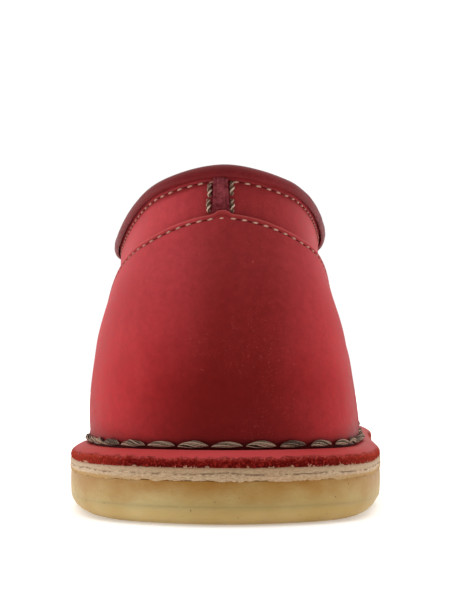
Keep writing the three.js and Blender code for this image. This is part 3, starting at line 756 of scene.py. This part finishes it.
red_calf = waxed_leather("waxed red calf", "9d2427", "af2f32", "c04a4b", rough=0.52, wax=0.06, shade_and_burnish=0.86)
rolled_calf = waxed_leather("waxed dark red calf", "67181a", "752022", "842e32", rough=0.46, wax=0.12)
red_cut = cut_leather("cut red calf edge", "8e2a28", "bf5f54", fuzz=0.5)
red_suede = cut_leather("dark red suede", "5c151b", "98444b", fuzz=0.6)
turned_calf = turned_edge_leather()
raw_runner = runner_leather()
crepe = crepe_rubber()
welt_thread = spun_thread("waxed linen thread", "30221a", "b2957e", ply=0.35)
seam_thread = spun_thread("spun cotton thread", "6e4034", "c08f7e", ply=0.4, darkening=0.6)
# Painted shade in the needle holes between stitches.
needle_hole_shade = cut_leather("red calf needle-hole shade", "500c0a", "741814", fuzz=0.5)
strip_thread = spun_thread("waxed cotton cord", "6a4c3c", "dcc2aa", ply=0.5)
tan_lining = lining_leather("tan lining leather", "a67c52", "bf9569", rough=0.6)
tan_insole = lining_leather("tan insole leather", "96703f", "b48a58", rough=0.55)
brass = aged_brass()
lace_braid = braided_lace()


# Sole

# Columns round each layer
CREPE_COLUMNS = 540
RUNNER_COLUMNS = 1500
INSOLE_COLUMNS = 360
EDGE_COLUMNS = 1800
# How far the wedge's side swells, and UV heights of that side and of its top
WEDGE_SWELL = 0.12
WEDGE_MARK = 5.8
TOP_MARK = 10.2
# The runner's cut edge: height over its lower side, and inset from the outline
RUNNER_EDGE = [(-0.15, -0.12), (0.25, -0.22), (0.7, -0.24), (1.05, -0.2), (1.3, -0.14), (1.55, -0.18),
               (1.95, -0.22), (2.4, -0.2), (2.75, -0.05), (2.9, 0.4)]
# Rows of the runner that aren't cut clean: row, depth, sag, and share, grain and seed of its unevenness
RUNNER_ROUGH = [(2, 0.2, 0.26, [(1, 0.55, 7.3)]), (2, 0.1, 0.4, [(1, 2.8, 7.3)])]
RUNNER_ROUGH += [(row, 0.15, 0.1, [(1, 0.6, 7.3)]) for row in range(3, 11)]
# The insole in section: share towards the spine, inset within the lining, and height over the lip's underside
INSOLE = [(1, 0, -0.1), (0, 0, -0.1), (0, 0, 2.5), (0, 0.25, 2.85), (0, 0.7, 3), (0, 4, 3.05), (0.5, 4, 2.95),
          (1, 0, 2.9)]


def spine(u):
    """The line down the middle of the sole that belongs to a rib."""
    return (sole_edge(u, 25) + sole_edge(ROUND - u, 25)) / 2


def roughness_noise(points, scale, seed):
    return np.array([noise.noise(Vector(p) / scale + Vector((seed, 0, 0))) for p in points])


def over(base, lift):
    """A height that lies a length above another, anywhere along the shoe."""
    return lambda y: base(y) + lift


def sole_layer(name, columns, profile, nodes, kind, angle=50, rough=(), turned=False):
    """A layer round the sole from rows of (share towards the spine, inset, height function, UV height).

    rough: row, depth, sag and unevenness of each row that isn't cut clean.
    turned: True where the rows run down the outer side instead of up."""
    u = np.linspace(0, ROUND, columns + 1)
    rows = []
    for towards, inset, height, _ in profile:
        flat = sole_edge(u, inset) * (1 - towards) + spine(u) * towards
        rows.append(raised(flat, height(flat[:, 1])))
    for row, depth, sag, uneven in rough:
        jag = sum(share * roughness_noise(rows[row], grain, row * seed) for share, grain, seed in uneven)
        jag[-1] = jag[0]
        rows[row] = rows[row] + raised(sole_out(u) * depth * jag[:, None], sag * jag)
    places = np.stack(rows, axis=1)
    flat = by_run(walked(sole_edge(u, 0)), [mark for *_, mark in profile])
    step = -1 if turned else 1
    finished(wrapped(name, places[::step], flat[::step], closed=True), nodes, [kind], angle)


def make_sole():
    seam = over(tread, CREPE_SEAM)
    top = over(wedge_top, HALF_GAP)

    tread_rows = [(1, 0, tread, 0), (0.5, TREAD_ROUND_IN, tread, 0), (0.15, TREAD_ROUND_IN, tread, 0)]
    for degrees in range(0, 91, 15):
        angle = math.radians(degrees)
        lift = TREAD_ROUND_UP * (1 - math.cos(angle))
        tread_rows.append((0, TREAD_ROUND_IN * (1 - math.sin(angle)), over(tread, lift), lift))
    tread_rows += [(0, 0, seam, CREPE_SEAM), (0, 6, seam, CREPE_SEAM), (1, 0, seam, CREPE_SEAM)]
    sole_layer("outsole", CREPE_COLUMNS, tread_rows, ["crepe_outsole"], crepe)

    wedge_rows = [(1, 0, seam, CREPE_SEAM), (0, 6, seam, CREPE_SEAM), (0, 0, seam, CREPE_SEAM)]
    for part in (0.01, 0.25, 0.5, 0.75, 0.97):
        swollen = -WEDGE_SWELL * math.sin(math.pi * part)
        wedge_rows.append((0, swollen, lambda y, part=part: seam(y) + part * (top(y) - tread(y) - CREPE_SEAM),
                           CREPE_SEAM + WEDGE_MARK * part))
    wedge_rows += [(0, 0.3, top, TOP_MARK), (1, 0, top, TOP_MARK)]
    sole_layer("wedge", CREPE_COLUMNS, wedge_rows, ["crepe_wedge"], crepe)

    runner_rows = [(1, 0, top, 0), (0, 0.6, top, 0)]
    runner_rows += [(0, inset, over(top, lift), lift) for lift, inset in RUNNER_EDGE]
    runner_rows.append((1, 0, over(wedge_top, 2.95), 2.9))
    sole_layer("runner", RUNNER_COLUMNS, runner_rows, ["midsole"], raw_runner, 60,
               RUNNER_ROUGH)


def make_insole():
    inset = lip_width(np.linspace(0, ROUND, INSOLE_COLUMNS + 1)) + WALL + 0.4
    rows = [(towards, inset + more, over(lip_low, height), height) for towards, more, height in INSOLE]
    sole_layer("insole_board", INSOLE_COLUMNS, rows, ["insole"], tan_insole)


# Eyelets


def eyelet_places():
    """Centre, axis and rib of each eyelet, in pairs from the throat up: outer, then inner."""
    places = []
    for place in PAIRS:
        for u in (place, ROUND - place):
            share = share_below([u], EYELET_DEPTH)
            places.append((skin([u], share, QUARTER)[0], outward([u], share)[0], u))
    return places


def turned_to(axis):
    """Three axes with the third along the given way."""
    side = unit(np.cross(axis, (0, 1, 0.3)))
    return np.stack([side, np.cross(axis, side), axis])


def eyelet_punch():
    """Rods through the facings where the eyelets are set."""
    rods = []
    for centre, axis, _ in eyelet_places():
        rod = start("eyelet_punch", bpy.ops.mesh.primitive_cylinder_add, vertices=32, radius=EYELET_HOLE * MM,
                    depth=12 * MM)
        set_points(rod, (centre + points_of(rod) / MM @ turned_to(axis)) * MM)
        rods.append(rod)
    for rod in rods:
        rod.select_set(True)
    bpy.ops.object.join()
    return bpy.context.object


# Upper

# Depths below a panel's edge at which its rows lie close together
EDGE_ROWS = (0, 0.35, 0.8, 1.25, 1.7, 2.1, 2.5, 2.95, 3.5, 4.3)
COUNTER_EDGE_ROWS = (0, 0.25, 0.5, 0.75, 0.95, 1.15, 1.4, 1.75, 2.3, 3.2)

# The turned-out edge in section: inset, height over the lip's top and way over the edge, first with the inset
# counted from the wall's foot, then from the sole's outline
BESIDE_FOOT = [(0.9, 1.2, -6), (0.1, 1.05, -5), (-0.45, 1.08, -4), (-0.95, 1.2, -3.2), (-1.7, 1.26, -2.5),
               (-2.5, 1.12, -1.8)]
BESIDE_OUTLINE = [(1.9, 0.62, -1.2), (1.25, 0.24, -0.6), (0.75, -0.1, -0.1), (0.35, -0.45, 0.3),
                  (0.1, -0.85, 0.75), (0.0, -1.25, 1.15), (-0.04, -1.65, 1.55), (-0.06, -2.1, 1.95),
                  (-0.02, -2.5, 2.3), (0.3, -2.7, 2.8), (4, -2.7, 5)]
# Row, depth and sag of the ragged cut, and share, grain and seed of its unevenness
RAGGED = [(9, 0.05, 0.03), (10, 0.12, 0.05), (11, 0.2, 0.08), (12, 0.26, 0.1), (13, 0.34, 0.24),
          (14, 0.34, 0.42)]
UNEVEN = [(1, 0.8, 3.1), (0.6, 0.4, 5.7)]
# Ribs between which the fronts of counter and quarters end
COUNTER_FRONT = (3.66, 3.74)
QUARTER_FRONT = (4.97, 5.01)


def wall_foot(u):
    """Inset of the wall's foot from the sole's outline, at the outermost panel: counter, quarters or vamp."""
    back = np.abs((np.asarray(u) + ROUND / 2) % ROUND - ROUND / 2)
    grow = COUNTER - (COUNTER - QUARTER) * smooth(back, *COUNTER_FRONT)
    return lip_width(u) - (grow - QUARTER * smooth(back, *QUARTER_FRONT))


def make_turned_edge():
    foot = wall_foot(np.linspace(0, ROUND, EDGE_COLUMNS + 1))
    rows = [(0, foot + inset, over(lip_top, lift), way) for inset, lift, way in BESIDE_FOOT]
    rows += [(0, inset, over(lip_top, lift), way) for inset, lift, way in BESIDE_OUTLINE]
    rough = [(*cut, UNEVEN) for cut in RAGGED]
    sole_layer("turned_edge", EDGE_COLUMNS, rows, ["upper"], turned_calf, 60, rough,
               turned=True)


def panel(u, high, grow, rows=34, edge=EDGE_ROWS, groove=2.1, groove_depth=0.28, stiffener=(0.5, 0.0)):
    """Places of a leather panel from the foot to a share of each rib, with a soft groove where its seam is
    sewn, and the depth of each place below the panel's edge.

    stiffener: the height, as a share of the panel, and the thickness of a pad that swells it from below."""
    ribs = last(u[:, None], high[:, None] * np.linspace(0, 1, 41)[None, :])
    height = walked(ribs, axis=1)[:, -1:]
    depths = np.empty((len(u), rows + len(edge)))
    for i, tall in enumerate(height[:, 0]):
        fine = np.minimum(np.array(edge[::-1]), tall * np.linspace(0.6, 0, len(edge)))
        depths[i] = np.concatenate([np.linspace(tall, fine[0], rows, endpoint=False), fine])
    share = 1 - depths / height
    sunk = groove_depth * near(depths, groove, 0.24 * groove)
    sunk -= 0.12 * near(depths, 0.43 * groove, 0.33 * groove)
    middle, thick = stiffener
    swollen = thick * near(share, middle, 0.16)
    return skin(u[:, None], high[:, None] * share, grow - sunk + swollen), depths


def make_counter():
    half = np.concatenate([np.linspace(0.012, 0.3, 25), np.linspace(0.325, 3.7, 136)])
    u = np.concatenate([-half[::-1], [0], half])
    outer_side = smooth(u, -1, 1)[:, None]
    stiffener = (0.76 - 0.1 * outer_side, 0.5 + 0.15 * outer_side)
    places, depths = panel(u, counter_top(u), COUNTER, edge=COUNTER_EDGE_ROWS, groove=COUNTER_MARGIN,
                           groove_depth=0.3, stiffener=stiffener)
    # The marks give a pale painted highlight along the top edge and painted shade along the seam.
    marks = {"edge": near(depths, 0, 0.3), "seam_shade": near(depths, COUNTER_MARGIN, 0.5)}
    sheet("counter", places, COUNTER_THICK, 0.3, ["heel_counter"], [red_calf, red_cut],
          marks=marks)


def quarter_ribs():
    """Ribs from the back seam to the quarter's front edge, close together near that edge."""
    close = FRONT - np.array(EDGE_ROWS + (5.2,)) / RIB_RUN
    return np.concatenate([np.linspace(0, close[-1], 150, endpoint=False), close[::-1]])


def make_quarters(punch):
    first, second = FRONT_MARGINS
    for name, u in (("quarter_outer", quarter_ribs()), ("quarter_inner", -quarter_ribs()[::-1])):
        front = (FRONT - np.abs(u)) * RIB_RUN
        sunk = 0.28 * (near(front, first, 0.5) + near(front, second, 0.5))
        places, depths = panel(u, np.ones_like(u), (QUARTER - sunk)[:, None], groove=2.6)
        front = np.broadcast_to(front[:, None], depths.shape)
        front_seams = near(front, first, 0.6) + near(front, second, 0.6)
        # The marks give a pale painted highlight along the front edge, and painted shade under the binding's
        # seam and along the front seams.
        marks = {"edge": near(front, 0, 0.55), "seam_shade": np.maximum(1.3 * near(depths, 2.8, 0.8), front_seams)}
        sheet(name, places, QUARTER_THICK, 0.35, ["upper"], [red_calf, red_cut], marks=marks,
              punch=punch)


def make_vamp():
    u = np.linspace(VAMP_END, ROUND - VAMP_END, 321)
    places, _ = panel(u, np.ones_like(u), 0.0, rows=56, groove_depth=0.0)
    sheet("vamp", places, VAMP_THICK, 0.35, ["upper"], [red_calf, red_cut])


def make_lining(punch):
    u = np.linspace(ROUND, 0, 361)
    share = share_below(u, 0.5)[:, None] * np.linspace(0.0, 1.0, 46)[None, :]
    places = skin(u[:, None], share, -WALL)
    sheet("lining", places, LINING_THICK, 0.25, ["upper"], [tan_lining], closed=True,
          punch=punch)


# Collar

# The folded binding in section: out of the wall and up out of its edge
FOLD = [(1.75, -2.15), (2.45, -1.9), (2.72, -1.2), (2.6, -0.1), (2.0, 0.95), (0.9, 1.65), (-0.4, 1.85),
        (-1.7, 1.65), (-2.8, 0.95), (-3.4, -0.1), (-3.5, -1.2), (-3.25, -1.95), (-2.55, -2.15)]


def rounded(corners, count):
    """A smooth open curve through the corners."""
    corners = np.array(corners, float)
    at = np.linspace(0, len(corners) - 1, count)
    i = np.minimum(at.astype(int), len(corners) - 2)
    w = (at - i)[:, None]
    a, b = corners[i], corners[i + 1]
    p, n = corners[np.maximum(i - 1, 0)], corners[np.minimum(i + 2, len(corners) - 1)]
    return a + 0.5 * w * (b - p + w * (2 * p - 5 * a + 4 * b - n + w * (3 * (a - b) + n - p)))


def make_binding():
    u = np.linspace(-COLLAR_END, COLLAR_END, 561)
    out = outward(u, np.ones_like(u))
    up = unit(np.cross(out, unit(last(u + NUDGE, 1) - last(u - NUDGE, 1))))
    fold = rounded(FOLD, 41)[::-1]
    places = last(u, 1)[:, None] + out[:, None] * fold[None, :, :1] + up[:, None] * fold[None, :, 1:]
    pucker = roughness_noise((places * np.array([1, 1, 0.4])).reshape(-1, 3), 4.5, 3.3)
    places = places + 0.07 * pucker.reshape(*places.shape[:2], 1) * out[:, None]
    sheet("binding", places[::-1], BINDING_THICK, 0.25, ["collar_binding"], [rolled_calf])


# The back strip: how far aside of the middle it lies, half its width and how much wider its foot is, how far
# it stands off the quarters, and how deep its grooves, its tucked foot and head and its nap are
STRIP_ASIDE = -0.75
STRIP_HALF = 1.68
STRIP_FLARE = 0.5
STRIP_CROWN = 1.75
STRIP_GROOVE = 0.25
STRIP_TUCKS = (0.55, 0.75)
STRIP_NAP = 0.14


def make_back_strip():
    low = counter_top([BACK_SEAM])[0] - 0.012
    high = share_below([0.0], 1.9)[0]
    share = np.linspace(low, high, 41)
    sides = np.linspace(-1, 1, 25)
    out = outward(0, share)
    half = STRIP_HALF + STRIP_FLARE * np.linspace(1, 0, 41) ** 2.5
    crown = STRIP_CROWN - 0.16 * np.abs(sides) ** 4 - STRIP_GROOVE * near(np.abs(sides), 0.62, 0.12)
    foot, head = STRIP_TUCKS
    tucked = foot * smooth(share, low + 0.03, low) + head * smooth(share, high - 0.03, high)
    proud = crown[:, None] - tucked[None, :]
    places = skin(0, share, QUARTER)[None] + out[None] * proud[..., None]
    places[..., 0] += STRIP_ASIDE + sides[:, None] * half[None, :]
    nap = roughness_noise(places.reshape(-1, 3), 0.5, 9.1)
    places += out[None] * (STRIP_NAP * nap).reshape(*places.shape[:2], 1)
    sheet("strip", places, STRIP_THICK, 0.3, ["back_strip"], [red_suede], angle=60)


# Tongue, as in the solids: along, ridge, half width in %, drop and bend of each row
TONGUE = [
    (62.1, 71.8, 22.4, 4.5, 2), (58.7, 75.2, 26.2, 5.3, 2), (56.7, 77.2, 31.8, 8.5, 2.2),
    (53.4, 82.6, 38.3, 17, 2.8), (50, 88.4, 39.3, 18, 2.85), (46.6, 92.9, 39.3, 17.8, 2.85),
    (43.3, 96.7, 36, 20.5, 2.85), (40.6, 100, 30.5, 20, 2.85), (37.9, 104.3, 23, 11, 2.85),
]
TONGUE_MIDDLE = -4.7


def make_tongue():
    side = np.sin(np.linspace(-np.pi / 2, np.pi / 2, 49)) * 0.35 + np.linspace(-1, 1, 49) * 0.65
    where, ridge, half, drop, bend = rounded(TONGUE, 61).T[..., None]
    height = ridge * INSTEP - drop * np.abs(side) ** bend
    places = np.stack(matched(x_of(TONGUE_MIDDLE + half * side), y_of(where), height), -1)
    sheet("tongue_leather", places, TONGUE_THICK, 0.5, ["tongue"], [red_calf, red_cut])


# Lacing

# An eyelet in section: radius, and height over the leather
EYELET = [(2.0, -3.6), (2.0, 0.1), (2.1, 0.5), (2.4, 0.82), (2.85, 0.9), (3.3, 0.78), (3.62, 0.48),
          (3.7, 0.16), (3.5, 0.02), (2.27, 0.0), (2.27, -3.6)]
# A lace bar's end: height over the leather and shift towards the facing's edge
BAR_END = [(-4.2, 0), (-2.4, 0), (0, 0), (1.65, 0.25), (2.53, 1.2), (2.75, 2.8)]
BAR_CLEAR = 0.6
BAR_CREST = 1.2


def make_eyelets():
    pattern = start("eyelet_pattern", bpy.ops.mesh.primitive_circle_add, vertices=len(EYELET), radius=1)
    set_points(pattern, [(r * MM, 0, h * MM) for r, h in EYELET])
    bpy.ops.object.mode_set(mode="EDIT")
    bpy.ops.mesh.select_all(action="SELECT")
    bpy.ops.mesh.spin(steps=36, angle=2 * math.pi, center=(0, 0, 0), axis=(0, 0, 1))
    bpy.ops.mesh.select_all(action="SELECT")
    bpy.ops.mesh.remove_doubles(threshold=1e-6)
    bpy.ops.mesh.normals_make_consistent(inside=False)
    bpy.ops.object.mode_set(mode="OBJECT")
    shape = points_of(pattern) / MM
    for k, (centre, axis, _) in enumerate(eyelet_places()):
        name = f"{('outer', 'inner')[k % 2]}_{k // 2 + 1}"
        piece = placed("brass_" + name, pattern.data.copy())
        set_points(piece, (centre + shape @ turned_to(axis)) * MM)
        finished(piece, ["eyelet_" + name], [brass], 60)
    bpy.data.objects.remove(pattern)


def tube(name, path, radius, sides):
    """A round cord along a path, with its UV map in millimetres along and round it."""
    way = unit(np.gradient(path, axis=0))
    side = unit(np.cross(way, (0.3, 0.2, 1.0)))
    for k in range(1, len(path)):
        side[k] = unit(side[k - 1] - way[k] * np.dot(side[k - 1], way[k]))
    other = np.cross(way, side)
    angle = np.linspace(0, -2 * np.pi, sides + 1)[None, :, None]
    places = path[:, None] + radius * (np.cos(angle) * side[:, None] + np.sin(angle) * other[:, None])
    turn = np.linspace(0, 2 * np.pi * radius, sides + 1)
    return wrapped(name, places, by_run(walked(path), turn), closed=True)


def bar_leg(centre, axis, u):
    """One end of a lace bar, from inside its eyelet to the facing's edge."""
    edge = skin([u], [1.0], QUARTER + LACE_RADIUS + BAR_CLEAR)[0]
    towards = edge - centre
    towards = unit(towards - axis * np.dot(towards, axis))
    return [centre + axis * up + towards * shift for up, shift in BAR_END] + [edge]


def make_lace():
    places = eyelet_places()
    for pair, (outer, inner) in enumerate(zip(places[::2], places[1::2]), 1):
        first, second = bar_leg(*outer), bar_leg(*inner)[::-1]
        crest = (first[-1] + second[0]) / 2 + np.array([0, 0, BAR_CREST])
        piece = tube(f"lace_{pair}", rounded(first + [crest] + second, 90), LACE_RADIUS, 14)
        finished(piece, [f"lace_bar_{pair}"], [lace_braid], 60)


# Stitches

# How far the welt stitches lie out of the wall's foot and over the lip's top, and how much each one twists
WELT_OUT = 0.95
WELT_UP = 2.3
WELT_TWISTS = (1.0, 1.6, 1.2, 2.0)
# Threads beside the strip: how far aside of its middle, and at which height
STRIP_THREADS = [(-2.6, 76.1), (-2.85, 72.4), (2.6, 76.6), (2.6, 72.4)]


def along_path(path, normals, pitch, phase=0.5):
    """Evenly spaced places on a path: origins and axes along, across and off it."""
    run = walked(path)
    count = max(1, int(run[-1] / pitch))
    at = (np.arange(count) + phase) * run[-1] / count

    def read(values):
        return np.column_stack([np.interp(at, run, values[:, k]) for k in range(3)])

    way = unit(read(np.gradient(path, run, axis=0)))
    off = read(normals)
    off = unit(off - way * np.sum(off * way, axis=1, keepdims=True))
    return read(path), np.stack([way, np.cross(off, way), off], axis=1)


def leaning(spots, degrees, spread):
    """Turns each stitch a little in its surface, as a needle leaves it."""
    origins, axes = spots
    angle = np.radians(degrees + rng.normal(0, spread, len(origins)))[:, None]
    way, side, off = axes[:, 0], axes[:, 1], axes[:, 2]
    return origins, np.stack([way * np.cos(angle) + side * np.sin(angle),
                              side * np.cos(angle) - way * np.sin(angle), off], axis=1)


def seam_stitch(long, wide, high):
    """One lock stitch: a small sphere drawn out, its ends bent down into the leather."""
    pattern = start("stitch_pattern", bpy.ops.mesh.primitive_uv_sphere_add, segments=10, ring_count=6,
                    radius=1)
    bpy.ops.transform.rotate(value=math.pi / 2, orient_axis="Y", center_override=(0, 0, 0))
    bpy.ops.object.transform_apply(location=False, rotation=True, scale=False)
    shape = points_of(pattern) * np.array([long / 2, wide / 2, high])
    faces = [tuple(face.vertices) for face in pattern.data.polygons]
    bpy.data.objects.remove(pattern)
    ends = (2 * shape[:, 0] / long) ** 2
    shape[:, 2] += 0.12 - 0.5 * high * ends
    # lay: darker towards the ends, painted shade where the stitch dips into the leather.
    return shape, faces, 1 - 0.7 * ends


def twisted_stitch(strands, half, spread, thick, bulge, twist, loose, steps=13, sides=7):
    """One stitch of twisted strands that bulges out of the leather between two holes.

    loose: 1 for strands that lie unevenly and taper to the holes, 0 for a tight cord."""
    t = np.linspace(-1, 1, steps)
    fat = np.clip(1 - np.abs(t) ** (4 - 2.2 * loose), 0, 1) ** 0.75
    angle = np.linspace(0, 2 * np.pi, sides, endpoint=False)
    points, faces, lay = [], [], []
    for k in range(strands):
        turn = 2 * np.pi * (k + loose * rng.uniform(-0.35, 0.35)) / strands
        turn = turn + twist * t * (1 + loose * rng.uniform(-0.5, 0.3))
        out = spread * fat * (1 + loose * rng.uniform(-0.25, 0.2))
        height = 0.9 * out * np.sin(turn) + bulge * (fat - 0.6)
        centre = np.column_stack([half * t, out * np.cos(turn), height])
        shade = rng.uniform(0.7 - 0.15 * loose, 1.0)
        base = len(points)
        for c, r, away in zip(centre, thick * (0.3 + 0.7 * fat), turn):
            points += [(c[0], c[1] + r * math.cos(a), c[2] + r * math.sin(a)) for a in angle]
            # lay: dark on the side of each strand that faces the others, painted shade between the strands.
            lay += [shade * (0.5 + 0.5 * math.cos(a - away)) for a in angle]
        for i in range(steps - 1):
            low, high = base + i * sides, base + (i + 1) * sides
            for j in range(sides):
                n = (j + 1) % sides
                faces.append((high + j, high + n, low + n, low + j))
        faces.append(tuple(base + j for j in range(sides)))
        faces.append(tuple(base + (steps - 1) * sides + j for j in range(sides))[::-1])
    return np.array(points), faces, np.array(lay)


def seam_row(name, u, s, grow, pitch, size):
    """A row of lock stitches along ribs and shares of the upper, with a dark oval between each two stitches,
    painted shade in the needle hole.
    """
    path, normals = skin(u, s, grow), outward(u, s)
    spots = leaning(along_path(path, normals, pitch), degrees=6, spread=3)
    joined_copies(name, [seam_stitch(*size)], spots, seam_thread)
    gaps = along_path(path, normals, pitch, 0.0)
    # A dark oval between each two stitches: painted shade in the needle hole.
    hole = seam_stitch(pitch - 0.92 * size[0], 0.75 * size[1], 0.12)
    joined_copies(name + "_holes", [hole], gaps, needle_hole_shade)


def make_welt_stitches():
    u = np.linspace(0, ROUND, 1441)
    flat = sole_edge(u, wall_foot(u) - WELT_OUT)
    path = raised(flat, lip_top(flat[:, 1]) + WELT_UP)
    lean_out = unit(raised(0.25 * sole_out(u), np.ones(len(u))))
    spots = leaning(along_path(path, lean_out, WELT_PITCH, 0.0), degrees=4, spread=3)
    shapes = [twisted_stitch(strands=11, half=3.5, spread=0.62, thick=0.2, bulge=0.42, twist=twist, loose=1)
              for twist in WELT_TWISTS]
    joined_copies("welt_stitches", shapes, spots, welt_thread)


def make_seams():
    for side, name in ((1, "outer"), (-1, "inner")):
        u = side * np.linspace(0.09, 3.7, 500)
        s = share_below(u, COLLAR_MARGIN)
        seam_row(f"collar_seam_{name}", u, s, QUARTER - 0.32, COLLAR_PITCH, COLLAR_STITCH)
        u = side * np.linspace(3.8, 4.9, 240)
        s = share_below(u, FACING_MARGIN)
        seam_row(f"facing_seam_{name}", u, s, QUARTER - 0.2, SEAM_PITCH, FACING_STITCH)
        for row, gap in enumerate(FRONT_MARGINS, 1):
            u = np.full(300, side * (FRONT - gap / RIB_RUN))
            s = np.linspace(0.06, 0.97, 300)
            seam_row(f"vamp_seam_{name}_{row}", u, s, QUARTER - 0.2, SEAM_PITCH, FACING_STITCH)

    u = np.linspace(-3.55, 3.55, 900)
    top = counter_top(u, 0)
    step = 0.01
    ribs = np.linalg.norm(last(u, top) - last(u, top - step), axis=1)
    s = np.maximum(top - COUNTER_MARGIN * step / ribs, 0.03)
    seam_row("counter_seam", u, s, COUNTER - 0.3, SEAM_PITCH, COUNTER_STITCH)


def make_strip_threads():
    cord = twisted_stitch(strands=2, half=1.75, spread=0.28, thick=0.34, bulge=0.5, twist=3.8, loose=0,
                          steps=21, sides=8)
    origins, axes = [], []
    for side, z in STRIP_THREADS:
        s = share_at_height(np.zeros(1), [z])
        out, up = outward([0.0], s)[0], unit(last(0.0, s + NUDGE) - last(0.0, s - NUDGE))[0]
        origins.append(skin([0.0], s, QUARTER + 0.25)[0] + np.array([STRIP_ASIDE + side, 0, 0]))
        axes.append([up, np.cross(out, up), out])
    spots = leaning((np.array(origins), np.array(axes)), degrees=0, spread=3)
    joined_copies("strip_threads", [cord], spots, strip_thread)


make_sole()
make_turned_edge()
make_counter()
punch = eyelet_punch()
make_quarters(punch)
make_vamp()
make_lining(punch)
bpy.data.objects.remove(punch)
make_insole()
make_binding()
make_back_strip()
make_tongue()
make_eyelets()
make_lace()
make_welt_stitches()
make_seams()
make_strip_threads()


# Studio: places and sizes in metres, power in watts, the view's tilt in degrees, lens and sensor in mm

FLOOR_SIZE = 12
LAMP_SIZE = (1.6, 0.5)
LAMP_TARGET = Vector((0, -0.12, 0.05))
LAMPS = {"left_softbox": (Vector((-2.0, -0.16, 0.24)), 14.5),
         "right_softbox": (Vector((2.0, -0.12, 0.24)), 7.6)}
VIEW_PLACE = (-0.001, -0.421, 0.031)
VIEW_UP = 3.97
VIEW_LENS = 73.92
VIEW_SENSOR = 36


def pale_floor():
    """Matt painted board, the ground of a light tent."""
    made, add = material("matt white board", Roughness=0.9, Emission_Color=linear("ffffff"),
                         Emission_Strength=0.32)
    mottle = add("TexNoise", (add("TexCoord", out="Object"), per(300), 2))
    return fed(made, Base_Color=add("Mix", (mottle, "f4f4f4", "fafafa")))


def make_studio():
    floor = start("studio_floor", bpy.ops.mesh.primitive_grid_add, x_subdivisions=4, y_subdivisions=4,
                  size=FLOOR_SIZE)
    floor.data.materials.append(pale_floor())

    for name, (place, power) in LAMPS.items():
        lamp = bpy.data.lights.new(name, "AREA")
        lamp.shape = "RECTANGLE"
        lamp.size, lamp.size_y = LAMP_SIZE
        lamp.energy = power
        holder = placed(name, lamp)
        holder.location = place
        holder.rotation_euler = (LAMP_TARGET - place).to_track_quat("-Z", "Y").to_euler()

    # A tent that is bright above and ahead of the shoe, and dim behind the camera
    world = bpy.data.worlds.new("light_tent")
    bpy.context.scene.world = world
    world.use_nodes = True
    add = functools.partial(node, world.node_tree)
    way = add("TexCoord", out="Generated")
    ahead = add("MapRange", (add("SeparateXYZ", (way,), "Y"), -0.35, 0.3, 0.06, 1.02))
    above = add("MapRange", (add("SeparateXYZ", (way,), "Z"), 0.45, 1, 0, 1.35))
    light = world.node_tree.nodes["Background"]
    light.inputs["Color"].default_value = linear("ffffff")
    world.node_tree.links.new(add("Math", (ahead, above), operation="ADD"), light.inputs["Strength"])

    view = bpy.data.cameras.new("view")
    view.lens = VIEW_LENS
    view.sensor_width = VIEW_SENSOR
    view.clip_start = 0.01
    camera = placed("view", view)
    camera.location = VIEW_PLACE
    camera.rotation_euler = (math.radians(90 + VIEW_UP), 0, 0)
    bpy.context.scene.camera = camera


make_studio()
bpy.context.scene.view_settings.view_transform = "Standard"
